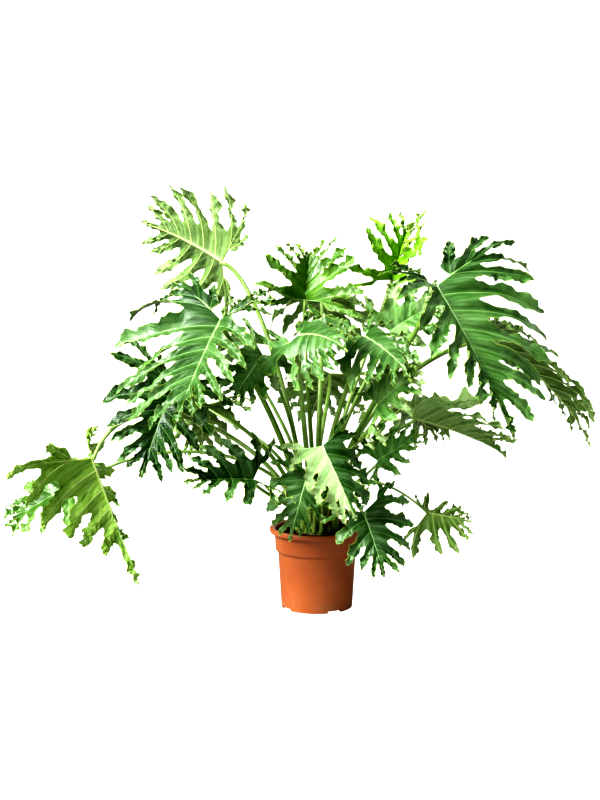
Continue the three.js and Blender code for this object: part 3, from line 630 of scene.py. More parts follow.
class Bend:
    """Bends flat places over the midrib, which is an arc between attach and tip."""

    def __init__(self, leaf):
        self.attach = np.array(leaf["attach"], float) * MM
        chord = np.array(leaf["tip"], float) * MM - self.attach
        reach = np.linalg.norm(chord)
        self.ahead = chord / reach
        face = np.array(leaf["face"], float)
        self.up = unit(face - self.ahead * face.dot(self.ahead))
        self.right = np.cross(self.ahead, self.up)
        self.arch = math.radians(leaf["arch"])
        self.midrib = reach * (self.arch / 2) / math.sin(self.arch / 2)
        self.slope = self.arch / self.midrib
        self.ear_slope = steady(math.radians(leaf["ears"]) / (EAR_REACH * self.midrib))
        self.curl = steady(math.radians(leaf["curl"]) / (CURL_REACH * self.midrib))
        self.folds = {1: math.radians(leaf["right"]), -1: math.radians(leaf["left"])}

    def place(self, side, across, along, lift):
        slope = np.where(along < 0, self.ear_slope, self.slope)
        turned = self.arch / 2 - slope * along
        forward, rise = bend_offset(self.arch / 2, slope, along)
        fold = self.folds[side]
        tilt = fold - self.curl * across
        sideways, height = bend_offset(fold, self.curl, across)
        normal = np.cos(turned)[:, None] * self.up - np.sin(turned)[:, None] * self.ahead
        skin = np.cos(tilt)[:, None] * normal - side * np.sin(tilt)[:, None] * self.right
        return (self.attach + forward[:, None] * self.ahead + rise[:, None] * self.up
                + side * sideways[:, None] * self.right + height[:, None] * normal
                + lift[:, None] * skin)


class Blade:
    """The fine middle surface of one blade, drawn lobe by lobe, with what its colours need."""

    def __init__(self, leaf):
        self.leaf = leaf
        self.form = FORMS[leaf["form"]]
        self.bend = Bend(leaf)
        self.fine = random.Random(leaf["seed"])
        self.web = leaf["cut"]
        free = np.linspace(0, 1, self.form["free_rows"] + 1)
        self.free = 1 - (1 - free) ** ROW_CROWDING
        self.rows = np.concatenate([np.array(WEB_SHARES) * self.web, self.web + self.free * (1 - self.web)])
        self.web_rows = len(WEB_SHARES) + 1
        half = np.array(self.form["columns"])
        self.columns = np.concatenate([-half[::-1], [0], half])
        self.flat = []
        self.known = {}
        self.faces = []
        self.corners = {"vein": [], "zone": []}
        self.draw()

    # ---- points

    def add(self, side, across, along, lift, depth):
        """New points, one for each value of the arrays. Returns their numbers."""
        first = len(self.flat)
        for values in zip(across, along, lift, depth):
            self.flat.append((side, *values))
        return np.arange(first, len(self.flat))

    def add_on_rib(self, side, across, along, depth):
        """Points on the ribs, which neighbouring lobes and halves share."""
        numbers = []
        for a, b, d in zip(across, along, depth):
            key = (side if a > 1e-7 else 0, round(a * 1e6), round(b * 1e6))
            if key not in self.known:
                self.known[key] = int(self.add(side, [a], [b], [0.0], [d])[0])
            numbers.append(self.known[key])
        return np.array(numbers)

    # ---- shape of a lobe

    def sag(self, lobe, t):
        return -lobe["droop"] * lobe["length"] * t * t

    def gap_between(self, back, front):
        """Half the way across from one vein to the next, where the web ends."""
        a, b = rib_point(back, self.web), rib_point(front, self.web)
        turn = (back["turn"] + front["turn"]) * self.web
        heading = math.radians((back["angle"] + front["angle"] - turn) / 2)
        return abs((b[0] - a[0]) * math.cos(heading) - (b[1] - a[1]) * math.sin(heading)) / 2

    def shared_line(self, back, front, start):
        """The line that two neighbouring lobes share, as far as the web reaches."""
        middle = (rib_point(back, self.web) + rib_point(front, self.web)) / 2
        gap = self.gap_between(back, front)
        share = self.rows[:self.web_rows] / self.web
        plan = np.array(start) + (middle - np.array(start)) * share[:, None]
        sag = (self.sag(back, self.web) + self.sag(front, self.web)) / 2
        lift = sag * share + PLEAT * gap * share ** 0.7
        return {"plan": plan, "lift": lift, "gap": gap, "ids": None, "outer": False}

    def outer_line(self, lobe, front):
        """The free line behind the first lobe of a half."""
        gap = self.gap_between(lobe, front)
        t = self.rows[:self.web_rows]
        heading = np.radians(lobe["angle"] - lobe["turn"] * t)
        width = gap * np.sin(t / self.web * math.pi / 2)
        plan = rib_point(lobe, t) + np.stack([width * np.cos(heading), -width * np.sin(heading)], -1)
        return {"plan": plan, "lift": self.sag(lobe, t), "gap": gap, "ids": None, "outer": True}

    def vein(self, lobe):
        """The lobe's vein, with a slight wander and a curled end."""
        t = self.rows
        plan = rib_point(lobe, t)
        u = np.clip((t - self.web) / (1 - self.web), 0, 1)
        heading = np.radians(lobe["angle"] - lobe["turn"] * t)
        size, beats, shift = lobe["wander"]
        wander = lobe["length"] * size * np.sin(math.pi * u * beats + shift) * u
        plan = plan + np.stack([-wander * np.cos(heading), wander * np.sin(heading)], -1)
        lift = self.sag(lobe, t) + lobe["length"] * (lobe["hook"] * u ** 3 + lobe["pitch"] * u ** 1.6)
        return plan, lift, heading, u

    def margin(self, lobe, line, direction, plan, lift, heading):
        """The free margin: direction is 1 on the lobe's front edge, -1 on its back edge."""
        u = self.free[1:]
        swell = lobe["swell"][0 if direction < 0 else 1]
        look = lobe["look"][0 if direction < 0 else 1]
        early, late = swell[0] / LOBE_SWELL[0], swell[1] / LOBE_SWELL[1]
        broad = self.leaf["breadth"]
        widened = np.array([1, 1, broad, broad, broad, broad, broad, 1, 1, 1])
        swollen = np.array([1, 1, 1, 1, early, late, late, 1, 1, 1])
        share = np.interp(u, OUTLINE_STEPS, OUTLINE_SHARES * widened * swollen)
        body = smooth(u / 0.3) * smooth((1 - u) / 0.2)
        turn = 2 * math.pi * (u * look["teeth"] + look["start"])
        tooth = np.sin(turn + 0.9 * np.sin(turn)) + 0.3 * np.sin(2.6 * turn + 1)
        bite = look["bite"] * tooth * body * line["gap"]
        width = np.maximum(line["gap"] * share + bite, NARROWEST_HALF)
        free = slice(self.web_rows, None)
        head, base = heading[free], plan[free]
        out = np.stack([-np.cos(head), np.sin(head)], -1) * direction
        forward = np.stack([np.sin(head), np.cos(head)], -1)
        edge = base + out * width[:, None] + forward * (TOOTH_LEAN * bite)[:, None]

        at_web = self.web_rows - 1
        out_web = np.array([-math.cos(heading[at_web]), math.sin(heading[at_web])]) * direction
        off = line["plan"][-1] - (plan[at_web] + out_web * line["gap"])
        edge = edge + off * (np.clip(1 - u / WEB_BLEND, 0, 1) ** 2)[:, None]

        steps = self.form["steps"]
        shift = 0 if direction > 0 else WAVE_SHIFT
        waves = [self.leaf["wave"] * MM * math.sin(lobe["phase"] + WAVE_STEP * i + shift)
                 for i in range(len(steps))]
        rough = np.interp(u, [0, *steps, 1], [line["lift"][-1] - lift[at_web], *waves, 0])
        ruffle = self.leaf["ruffle"] * MM
        soft = smooth(u / 0.2) * (1 - 0.6 * smooth((u - 0.75) / 0.25))
        slow = look["ruffle"] * np.sin(2 * math.pi * (look["beat"] * u + look["shift"]))
        quick = 0.5 * look["ruffle"] * np.sin(2 * math.pi * (2.7 * look["beat"] * u + 3 * look["shift"]))
        channel = (look["channel"] + lobe["twist"] * direction) * width * smooth(u / 0.3)
        return edge, lift[free] + rough + ruffle * soft * (slow + quick) + channel

    def dress(self, lobe):
        """Seeded differences that only the looks have."""
        fine = self.fine
        lobe["wander"] = (fine.uniform(-0.03, 0.03), fine.uniform(1.2, 2.2), fine.uniform(-0.6, 0.6))
        lobe["hook"] = fine.uniform(-0.12, 0.08)
        lobe["pitch"] = fine.uniform(-0.08, 0.08)
        lobe["twist"] = fine.uniform(-0.5, 0.5)
        lobe["shade"] = fine.uniform(-0.12, 0.12)
        lobe["quilt"] = (fine.random(), fine.random())
        lobe["look"] = [{
            "teeth": self.form["teeth"] + fine.choice([-0.4, 0, 0.5]),
            "start": fine.random(),
            "bite": fine.uniform(0.08, 0.20),
            "ruffle": fine.uniform(0.6, 1.3),
            "channel": fine.uniform(0.15, 0.60),
            "beat": fine.uniform(1.6, 2.6),
            "shift": fine.random(),
        } for _ in range(2)]

    # ---- ribs

    def rib_zone(self, plan):
        """How far each place is from the main ribs, in half widths, and the half width there."""
        across, along = plan[..., 0], plan[..., 1]
        root = self.leaf["thick"][1] * MM * RIB_SHARE
        share = np.clip(along / self.midrib, 0, 1)
        half = root * (1 - RIB_TAPER * share)
        ratio = np.hypot(across, np.minimum(along, 0)) / half
        out = math.radians(self.leaf["costa"])
        reach = np.clip(across * math.sin(out) + along * math.cos(out), 0, self.costa)
        far = np.hypot(across - reach * math.sin(out), along - reach * math.cos(out))
        costa_half = root * COSTA_SHARE * (1 - COSTA_TAPER * reach / self.costa)
        costa_ratio = far / costa_half
        nearer = costa_ratio < ratio
        return np.where(nearer, costa_ratio, ratio), np.where(nearer, costa_half, half)

    # ---- the whole blade

    def draw_lobe(self, side, lobe, back, front):
        """One lobe as a grid. front is None on the last, which the other half completes."""
        plan, lift, heading, u = self.vein(lobe)
        rows, columns = len(self.rows), self.columns
        middle = len(columns) // 2
        keep = slice(0, middle + 1) if front is None else slice(0, len(columns))
        share = np.abs(columns)
        edge = {}
        for direction, line in ((-1, back), (1, front)):
            if line is None:
                continue
            free_plan, free_lift = self.margin(lobe, line, direction, plan, lift, heading)
            edge[direction] = [np.concatenate(pair) for pair in (
                (line["plan"], free_plan), (line["lift"], free_lift))]

        flat = np.zeros((rows, len(columns), 2))
        height = np.zeros((rows, len(columns)))
        half = np.zeros((rows, len(columns)))
        for j, s in enumerate(columns):
            if s == 0 or (s > 0 and front is None):
                flat[:, j], height[:, j] = plan, lift
                continue
            edge_plan, edge_lift = edge[1 if s > 0 else -1]
            flat[:, j] = plan + (edge_plan - plan) * abs(s)
            ridge = math.sin(abs(s) * math.pi / 2) ** 1.2
            rise = ridge + (abs(s) ** 1.5 - ridge) * smooth((self.rows - self.web) / 0.12 + 0.5)
            half[:, j] = np.linalg.norm(edge_plan - plan, axis=1)
            steps = (self.rows * lobe["length"] - QUILT_SLANT * abs(s) * half[:, j]) / QUILT_STEP
            swell = np.sin(2 * math.pi * (steps + lobe["quilt"][0 if s < 0 else 1]))
            quilt = self.leaf["quilt"] * MM * swell * math.sin(math.pi * abs(s)) * smooth(self.rows / 0.1)
            height[:, j] = lift + (edge_lift - lift) * rise + quilt * smooth(half[:, j] / QUILT_NARROW)
        height[0] = 0

        off = share * half
        thickest = np.maximum(THINNEST_VEIN, VEIN_SHARE * lobe["length"])
        vein_half = thickest * (1 - VEIN_TAPER * self.rows)[:, None]
        vein = off / vein_half
        to_sinus = np.maximum(self.web - self.rows, 0)[:, None] * lobe["length"]
        edge_far = np.hypot((1 - share) * half, to_sinus)
        if back["outer"]:
            bare = (columns < 0)[None, :] & (self.rows < self.web)[:, None]
            edge_far = np.where(bare, (1 - share) * half, edge_far)
        edge_far = np.minimum(edge_far, (1 - self.rows)[:, None] * lobe["length"] + TIP_EDGE)
        rib, rib_half = self.rib_zone(flat)
        depth = rib_half * np.sqrt(np.clip(1 - rib * rib, 0, 1))
        depth = np.maximum(depth, VEIN_RELIEF * vein_half * np.sqrt(np.clip(1 - vein * vein, 0, 1)))

        ids = np.zeros((rows, len(columns)), int)
        ids[0, keep] = self.add_on_rib(side, flat[0, keep, 0], flat[0, keep, 1], depth[0, keep])
        for j in range(len(columns))[keep]:
            s = columns[j]
            line = {-1.0: back, 1.0: front}.get(s)
            first = 1
            if line is not None and line["ids"] is not None:
                first = self.web_rows
                ids[1:first, j] = line["ids"]
            elif s == 0 and lobe.get("ids") is not None:
                ids[1:, j] = lobe["ids"]
                continue
            ids[first:, j] = self.add(
                side, flat[first:, j, 0], flat[first:, j, 1], height[first:, j], depth[first:, j])
            if line is not None and line["ids"] is None:
                line["ids"] = ids[1:self.web_rows, j]
            if s == 0 and front is None:
                lobe["ids"] = ids[1:, j]

        # the tone: the leaf's own green plus painted shade behind the stalk's end and painted light or
        # shade on each half
        behind = smooth((REAR_START * self.midrib - flat[..., 1]) / (REAR_FADE * self.midrib))
        own = self.leaf["tone"] + self.leaf["halves"][1 if side > 0 else 0] + self.leaf["rear"] * behind
        tone = np.clip(own + lobe["shade"] + TIP_PALING * u[:, None] ** 2 + 0 * share, 0, 1)
        vein_data = np.stack([off / MM, self.rows[:, None] * lobe["length"] / MM + 0 * share, vein], -1)
        zone_data = np.stack([edge_far / MM, rib, tone], -1)
        for i in range(rows - 1):
            for j in range(middle if front is None else len(columns) - 1):
                for tri in (((i, j), (i, j + 1), (i + 1, j + 1)), ((i, j), (i + 1, j + 1), (i + 1, j))):
                    if len({ids[k] for k in tri}) < 3:
                        continue
                    order = tri if side < 0 else tri[::-1]
                    self.faces.append([int(ids[k]) for k in order])
                    self.corners["vein"].append([vein_data[k] for k in order])
                    self.corners["zone"].append([zone_data[k] for k in order])

    def draw(self):
        leaf, form = self.leaf, self.form
        draw = seeded_draws(leaf["seed"])
        self.midrib = self.bend.midrib
        halves = [(side, *plan_half(leaf, form, side, self.midrib, draw)) for side in (1, -1)]
        end = plan_lobe([0, form["end"] * self.midrib], 0, (1 - form["end"]) * self.midrib, leaf, draw)
        self.dress(end)
        end["wander"] = (0, 1, 0)
        for side, lobes, behind_count, costa in halves:
            self.costa = costa
            back = self.outer_line(lobes[0], lobes[1])
            for count, (lobe, follower) in enumerate(zip(lobes, [*lobes[1:], end]), 1):
                self.dress(lobe)
                start = [0, 0] if count == behind_count else (lobe["base"] + follower["base"]) / 2
                front = self.shared_line(lobe, follower, start)
                self.draw_lobe(side, lobe, back, front)
                back = front
            self.draw_lobe(side, end, back, None)

    def points(self):
        """Every point in place, bent over the midrib, and how far the ribs stand out under it."""
        flat = np.array(self.flat)
        places = np.zeros((len(flat), 3))
        for side in (1, -1):
            own = flat[:, 0] == side
            places[own] = self.bend.place(side, flat[own, 1], flat[own, 2], flat[own, 3])
        return places, flat[:, 4]


def blade_piece(number, leaf, materials):
    """A closed thin blade: upper side, underside with its raised ribs, and a pale rim."""
    blade = Blade(leaf)
    middle, depth = blade.points()
    faces = np.array(blade.faces)
    corner = middle[faces]
    face_normals = np.cross(corner[:, 1] - corner[:, 0], corner[:, 2] - corner[:, 0])
    normals = np.zeros_like(middle)
    for k in range(3):
        np.add.at(normals, faces[:, k], face_normals)
    lengths = np.linalg.norm(normals, axis=1)
    normals /= np.maximum(lengths, 1e-12)[:, None]

    upper = middle + normals * BLADE_HALF
    under = middle - normals * (BLADE_HALF + depth)[:, None]
    count = len(middle)

    pairs = {}
    for f, face in enumerate(faces):
        for k in range(3):
            pairs[(int(face[k]), int(face[(k + 1) % 3]))] = (f, k)
    rim, rim_vein, rim_zone, sharp = [], [], [], set()
    vein, zone = np.array(blade.corners["vein"]), np.array(blade.corners["zone"])
    for (a, b), (f, k) in pairs.items():
        if (b, a) in pairs:
            continue
        rim.append([b, a, a + count, b + count])
        after = (k + 1) % 3
        rim_vein.append([vein[f, after], vein[f, k], vein[f, k], vein[f, after]])
        rim_zone.append([zone[f, after], zone[f, k], zone[f, k], zone[f, after]])
        sharp.add((min(a, b), max(a, b)))
        sharp.add((min(a, b) + count, max(a, b) + count))

    flipped = faces[:, ::-1] + count
    all_faces = [*faces.tolist(), *flipped.tolist(), *rim]
    slots = [0] * len(faces) + [1] * len(faces) + [2] * len(rim)
    attributes = {}
    for key, values, extra in (("vein", vein, rim_vein), ("zone", zone, rim_zone)):
        attributes[key] = np.concatenate([
            values.reshape(-1, 3), values[:, ::-1].reshape(-1, 3), np.array(extra).reshape(-1, 3)])
    attributes["hue"] = [[leaf["fresh"], 0, 0]] * len(attributes["vein"])
    piece = new_object(f"leaf_{number:02d}", np.concatenate([upper, under]), all_faces, materials,
                       slots, attributes, sharp, slot="leaf")
    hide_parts(f"blade_{number:02d}")
    root = blade.known[(0, 0, 0)]
    return middle[root], normals[root]


# ---------------------------------------------------------------- stalks

STALK_RINGS = 40
STALK_SIDES = 14
STALK_SINK = 6 * MM
PATH_STEPS = 200
RING_CROWDING = 1.15
# the foot is wider than the stalk over this height
FOOT_FLARE = 0.28
FOOT_HEIGHT = 0.06
# how far the stalk's end goes into the rib, and its radius there, as shares of its radius
END_DEPTH = 0.4
END_SHARE = 0.75
# how much the side towards the crown's middle is flattened
STALK_FLAT = 0.22


def bezier(points, t):
    a, b, c, d = (np.array(p, float) for p in points)
    t = np.asarray(t)[:, None]
    return (1 - t) ** 3 * a + 3 * (1 - t) ** 2 * t * b + 3 * (1 - t) * t * t * c + t ** 3 * d


def tube(centres, radii, sides, start_side, flatten):
    """Rings round a path, turned as little as possible from one to the next."""
    tangents = np.gradient(centres, axis=0)
    tangents /= np.linalg.norm(tangents, axis=1)[:, None]
    across = np.array(start_side, float)
    rings = []
    for centre, radius, tangent in zip(centres, radii, tangents):
        across = unit(across - tangent * across.dot(tangent))
        other = np.cross(tangent, across)
        for j in range(sides):
            angle = 2 * math.pi * j / sides
            r = radius * (1 - flatten * max(0.0, math.cos(angle)) ** 4)
            rings.append(centre + r * (math.cos(angle) * across + math.sin(angle) * other))
    return np.array(rings)


def closed_tube(centres, radii, sides, start_side, flatten):
    """The points and faces of a tube with both ends closed."""
    points = tube(centres, radii, sides, start_side, flatten)
    faces = grid_faces(len(centres), sides, closed=True)
    last = len(points) - sides
    faces.append(list(range(sides))[::-1])
    faces.append([last + j for j in range(sides)])
    return points, faces


def stalk_piece(number, leaf, root, normal, material):
    """The stalk on the solid's own path, from inside the crown up into the blade's rib."""
    distance, azimuth = leaf["foot"]
    turn = math.radians(azimuth)
    foot = np.array([distance * MM * math.cos(turn), distance * MM * math.sin(turn), CROWN_TOP + FIT_GAP])
    rise = foot + [0, 0, leaf["rise"] * MM]
    via = np.array(leaf["via"]) * MM
    slant = math.sqrt(max(0.0, 1 - unit(root - via).dot(normal) ** 2))
    below = (SOLID_THICKNESS / 2 + SOLID_RIB_DEPTH + FIT_GAP
             + (leaf["thick"][1] * slant + leaf["drop"]) * MM)
    path = bezier([foot, rise, via, root - normal * below], np.linspace(0, 1, PATH_STEPS))
    steps = np.concatenate([[0], np.cumsum(np.linalg.norm(np.diff(path, axis=0), axis=1))])
    length = steps[-1]
    share = np.linspace(0, 1, STALK_RINGS) ** RING_CROWDING
    centres = np.stack([np.interp(share * length, steps, path[:, k]) for k in range(3)], -1)
    radii = (leaf["thick"][0] + (leaf["thick"][1] - leaf["thick"][0]) * np.sqrt(share)) * MM
    radii *= 1 + FOOT_FLARE * np.clip(1 - share * length / FOOT_HEIGHT, 0, 1) ** 2
    # down into the crown, and up into the rib
    into = root - normal * (BLADE_HALF + END_DEPTH * leaf["thick"][1] * MM)
    centres = np.concatenate([[centres[0] - [0, 0, STALK_SINK]], centres, [into]])
    radii = np.concatenate([[radii[0]], radii, [END_SHARE * radii[-1]]])
    inward = [-math.cos(turn), -math.sin(turn), 0]
    points, faces = closed_tube(centres, radii, STALK_SIDES, inward, STALK_FLAT)
    along = np.concatenate([[0], share * length, [length]])
    skin = []
    for low, high in zip(along, along[1:]):
        for j in range(STALK_SIDES):
            near, far = j / STALK_SIDES, (j + 1) / STALK_SIDES
            skin += [[near, low, number], [far, low, number], [far, high, number], [near, high, number]]
    skin += [[0, 0, number]] * STALK_SIDES + [[0, length, number]] * STALK_SIDES
    attributes = {"skin": skin, "shade": [[leaf["stem"], 0, 0]] * len(skin)}
    piece = new_object(
        f"petiole_{number:02d}", points, faces, [material], attributes=attributes, slot="stalk")
    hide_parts(f"stalk_{number:02d}")


# ---------------------------------------------------------------- pot, soil and crown

ROUND_SIDES = 128


def lathe(profile, sides):
    """A closed turned form: the profile runs from the axis round to the axis."""
    points, faces = [], []
    rings = []
    for radius, z in profile:
        if radius < 1e-9:
            rings.append([len(points)])
            points.append([0, 0, z])
            continue
        rings.append(list(range(len(points), len(points) + sides)))
        for j in range(sides):
            angle = 2 * math.pi * j / sides
            points.append([radius * math.cos(angle), radius * math.sin(angle), z])
    for low, high in zip(rings, rings[1:]):
        for j in range(sides):
            k = (j + 1) % sides
            if len(low) == 1:
                faces.append([low[0], high[k], high[j]])
            elif len(high) == 1:
                faces.append([low[j], low[k], high[0]])
            else:
                faces.append([low[j], low[k], high[k], high[j]])
    return np.array(points), faces


def rounded(profile, steps=4):
    """The profile with its corners rounded, where they are given a radius."""
    result = [profile[0][:2]]
    for before, corner, after in zip(profile, profile[1:], profile[2:]):
        size = corner[2] if len(corner) > 2 else 0
        p = np.array(corner[:2], float)
        a, b = np.array(before[:2], float) - p, np.array(after[:2], float) - p
        cut = min(size, 0.45 * np.linalg.norm(a), 0.45 * np.linalg.norm(b))
        if cut < 1e-6:
            result.append(tuple(p))
            continue
        a, b = p + unit(a) * cut, p + unit(b) * cut
        for i in range(steps + 1):
            t = i / steps
            result.append(tuple((1 - t) ** 2 * a + 2 * t * (1 - t) * p + t * t * b))
    result.append(profile[-1][:2])
    return result


def cut_away(target, cutter):
    modifier = target.modifiers.new("cut", "BOOLEAN")
    modifier.operation = "DIFFERENCE"
    modifier.solver = "EXACT"
    modifier.object = cutter
    bpy.context.view_layer.objects.active = target
    bpy.ops.object.modifier_apply(modifier=modifier.name)
    bpy.data.objects.remove(cutter)


def prism(outline, low, high):
    """A closed prism over an outline in X and Y."""
    n = len(outline)
    points = [[x, y, low] for x, y in outline] + [[x, y, high] for x, y in outline]
    faces = [list(range(n))[::-1], list(range(n, 2 * n))]
    faces += [[j, (j + 1) % n, n + (j + 1) % n, n + j] for j in range(n)]
    mesh = bpy.data.meshes.new("cutter")
    mesh.from_pydata(points, [], faces)
    cutter = bpy.data.objects.new("cutter", mesh)
    bpy.context.scene.collection.objects.link(cutter)
    return cutter


def pot_piece(material):
    outside = [
        (0, 0), (34, 0, 1), (36.5, 7, 2), (81, 7, 2), (83.5, 0, 1), (90, 0, 1.2),
        (98.5, 141.5, 1.5), (101.5, 145, 1.5), (105, 148.5, 1.5), (107.5, 193, 1.2),
        (118.6, 193, 1.6), (120, 196, 2), (120, 202.5, 2.2), (118.2, 205, 1.6),
        (109.5, 205, 2), (105.3, 202.5, 1.5),
    ]
    inside = [(102.8, 148.5, 1.5), (96.3, 141.5, 1.5), (87.8, 9.5, 2), (0, 9.5)]
    profile = rounded([tuple(v * MM for v in p) for p in outside + inside])
    points, faces = lathe(profile, ROUND_SIDES)
    faces = [f[::-1] for f in faces]
    piece = new_object("nursery_pot", points, faces, [material], slot="pot")
    # four arches in the foot ring
    for i in range(4):
        turn = math.radians(299.75 + 90 * i)
        axis, side = np.array([math.cos(turn), math.sin(turn)]), np.array([-math.sin(turn), math.cos(turn)])
        outline = [axis * r * MM + side * w * MM for r, w in ((79, -19), (101, -19), (101, 19), (79, 19))]
        cut_away(piece, prism(outline, -5.5 * MM, 5.5 * MM))
    # six drain holes
    for i in range(6):
        turn = 2 * math.pi * i / 6
        centre = 62 * MM * np.array([math.cos(turn), math.sin(turn)])
        outline = [centre + 5 * MM * np.array([math.cos(a), math.sin(a)])
                   for a in np.linspace(0, 2 * math.pi, 24, endpoint=False)]
        cut_away(piece, prism(outline, -2 * MM, 16 * MM))
    piece.data.set_sharp_from_angle(angle=math.radians(40))
    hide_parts("pot")


SOIL_TOP = 195 * MM
# the rings of the soil's top, in millimetres, from the wall to the middle
SOIL_RINGS = (103.4, 101, 98, 94, 90, 86, 82, 78, 74, 70, 66, 62, 58, 54, 48, 40, 30, 18, 8)
CRUMB_TRIES = 420
CRUMB_REACH = 0.104
CRUMB_LIMIT = 0.1035


def crumb(fine, centre, size, stretch):
    """A small rough lump: a ball of 42 points, pushed in and out."""
    return {"centre": np.array(centre), "size": size, "stretch": stretch, "turn": fine.uniform(0, math.tau),
            "dents": [fine.uniform(0.72, 1.2) for _ in range(42)]}


def ball():
    """A subdivided icosahedron: 42 points on the unit ball and their triangles."""
    g = (1 + 5 ** 0.5) / 2
    points = [unit(np.array(p, float)) for p in (
        (-1, g, 0), (1, g, 0), (-1, -g, 0), (1, -g, 0), (0, -1, g), (0, 1, g),
        (0, -1, -g), (0, 1, -g), (g, 0, -1), (g, 0, 1), (-g, 0, -1), (-g, 0, 1))]
    faces = [(0, 11, 5), (0, 5, 1), (0, 1, 7), (0, 7, 10), (0, 10, 11), (1, 5, 9), (5, 11, 4), (11, 10, 2),
             (10, 7, 6), (7, 1, 8), (3, 9, 4), (3, 4, 2), (3, 2, 6), (3, 6, 8), (3, 8, 9), (4, 9, 5),
             (2, 4, 11), (6, 2, 10), (8, 6, 7), (9, 8, 1)]
    halves, result = {}, []

    def half(a, b):
        key = (min(a, b), max(a, b))
        if key not in halves:
            halves[key] = len(points)
            points.append(unit(points[a] + points[b]))
        return halves[key]

    for a, b, c in faces:
        ab, bc, ca = half(a, b), half(b, c), half(c, a)
        result += [(a, ab, ca), (b, bc, ab), (c, ca, bc), (ab, bc, ca)]
    return np.array(points), np.array(result)


def scatter(name, crumbs, material, slot):
    ball_points, ball_faces = ball()
    points, faces = [], []
    for grain in crumbs:
        shape = ball_points * np.array(grain["dents"])[:, None] * grain["size"] * np.array(grain["stretch"])
        c, s = math.cos(grain["turn"]), math.sin(grain["turn"])
        x, y, z = shape.T
        turned = np.stack([x * c - y * s, x * s + y * c, z], -1)
        faces.append(ball_faces + len(points) * len(ball_points))
        points.append(turned + grain["centre"])
    new_object(name, np.concatenate(points), np.concatenate(faces).tolist(), [material], slot=slot)


def soil_height(x, y):
    """A gentle, uneven top, a little lower at the wall."""
    bumps = (math.sin(61 * x + 1.3) * math.cos(53 * y + 0.4) * 1.3
             + math.sin(140 * x + 90 * y) * 0.7 + math.sin(210 * y - 160 * x + 2.0) * 0.5)
    return SOIL_TOP + bumps * MM - 1.2 * MM * smooth((math.hypot(x, y) - 0.085) / 0.02)


def soil_piece(material):
    fine = random.Random(5)
    wall = [(0, 9.9), (87.4, 9.9), (95.9, 141.5), (102.4, 148.5), (104.6, 193)]
    profile = [(r * MM, z * MM) for r, z in wall]
    profile += [(r * MM, 0) for r in SOIL_RINGS]
    profile.append((0, 0))
    points, faces = lathe(profile, 96)
    for p in points:
        if p[2] == 0:
            p[2] = soil_height(p[0], p[1]) + fine.uniform(-0.8, 0.8) * MM
    piece = new_object("potting_soil_fill", points, [f[::-1] for f in faces], [material], slot="soil")
    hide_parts("soil")

    crumbs = []
    for _ in range(CRUMB_TRIES):
        angle, radius = fine.uniform(0, math.tau), CRUMB_REACH * math.sqrt(fine.uniform(0.28, 0.97))
        x, y = radius * math.cos(angle), radius * math.sin(angle)
        size = fine.uniform(1.0, 3.2) * MM
        if math.hypot(x, y) + 1.2 * size > CRUMB_LIMIT:
            continue
        stretch = (fine.uniform(0.8, 1.5), fine.uniform(0.7, 1.0), fine.uniform(0.5, 0.8))
        crumbs.append(crumb(fine, [x, y, soil_height(x, y) + 0.3 * size], size, stretch))
    scatter("soil_crumbs", crumbs, material, "soil")


def crown_piece(material):
    """A low knobbly stem with a rounded shoulder."""
    fine = random.Random(11)
    profile = [(0, 161), (50, 161), (55, 166), (56.5, 176), (56.5, 190), (55.5, 197), (53, 201), (48, 203),
               (42, 203.6), (34, 204), (26, 204), (18, 204.2), (9, 204.4), (0, 204.4)]
    points, faces = lathe([(r * MM, z * MM) for r, z in profile], 72)
    for p in points:
        radius = math.hypot(p[0], p[1])
        angle = math.atan2(p[1], p[0])
        knob = 0.9 * math.sin(9 * angle + 140 * p[2]) + 0.6 * math.sin(17 * angle - 260 * p[2] + 1)
        if p[2] > 0.165 and radius > 1e-6:
            p[:2] *= 1 + min(0.0, knob - 1.2) * MM / 0.057
            p[2] += fine.uniform(-1.2, 0.6) * MM
    piece = new_object("crown_stem", points, [f[::-1] for f in faces], [material], slot="crown")
    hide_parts("crown")


SHEATH_HALF = 0.25 * MM


def sheath_piece(name, foot, lean, height, width, material):
    """A thin dry pointed sheath that stands between the stalks."""
    rows, columns = 14, 9
    azimuth, tilt, roll = lean
    out = np.array([math.cos(azimuth), math.sin(azimuth), 0])
    side = np.array([-out[1], out[0], 0])
    points = []
    for face in (1, -1):
        for i in range(rows):
            t = i / (rows - 1)
            half = width / 2 * (1 - t) ** 0.55 * (1 + 0.15 * math.sin(7 * t))
            rise = height * t
            back = math.tan(tilt) * height * t * t
            for j in range(columns):
                s = 2 * j / (columns - 1) - 1
                cup = roll * half * (1 - s * s)
                crinkle = 0.5 * MM * math.sin(11 * s + 9 * t)
                outward = back + cup + crinkle + face * SHEATH_HALF
                points.append(np.array(foot) + side * (half * s) + out * outward + np.array([0, 0, rise]))
    one = grid_faces(rows, columns)
    count = rows * columns
    faces = one + [[v + count for v in f[::-1]] for f in one]
    border = list(range(columns)) + [i * columns + columns - 1 for i in range(1, rows)]
    border += [(rows - 1) * columns + j for j in range(columns - 2, -1, -1)]
    border += [i * columns for i in range(rows - 2, 0, -1)]
    for a, b in zip(border, border[1:] + border[:1]):
        faces.append([b, a, a + count, b + count])
    skin = []
    for f in faces:
        for v in f:
            i, j = divmod(v % count, columns)
            skin.append([j / columns, i * height / rows * 10, 0])
    new_object(name, points, faces, [material], attributes={"skin": skin}, slot="crown")


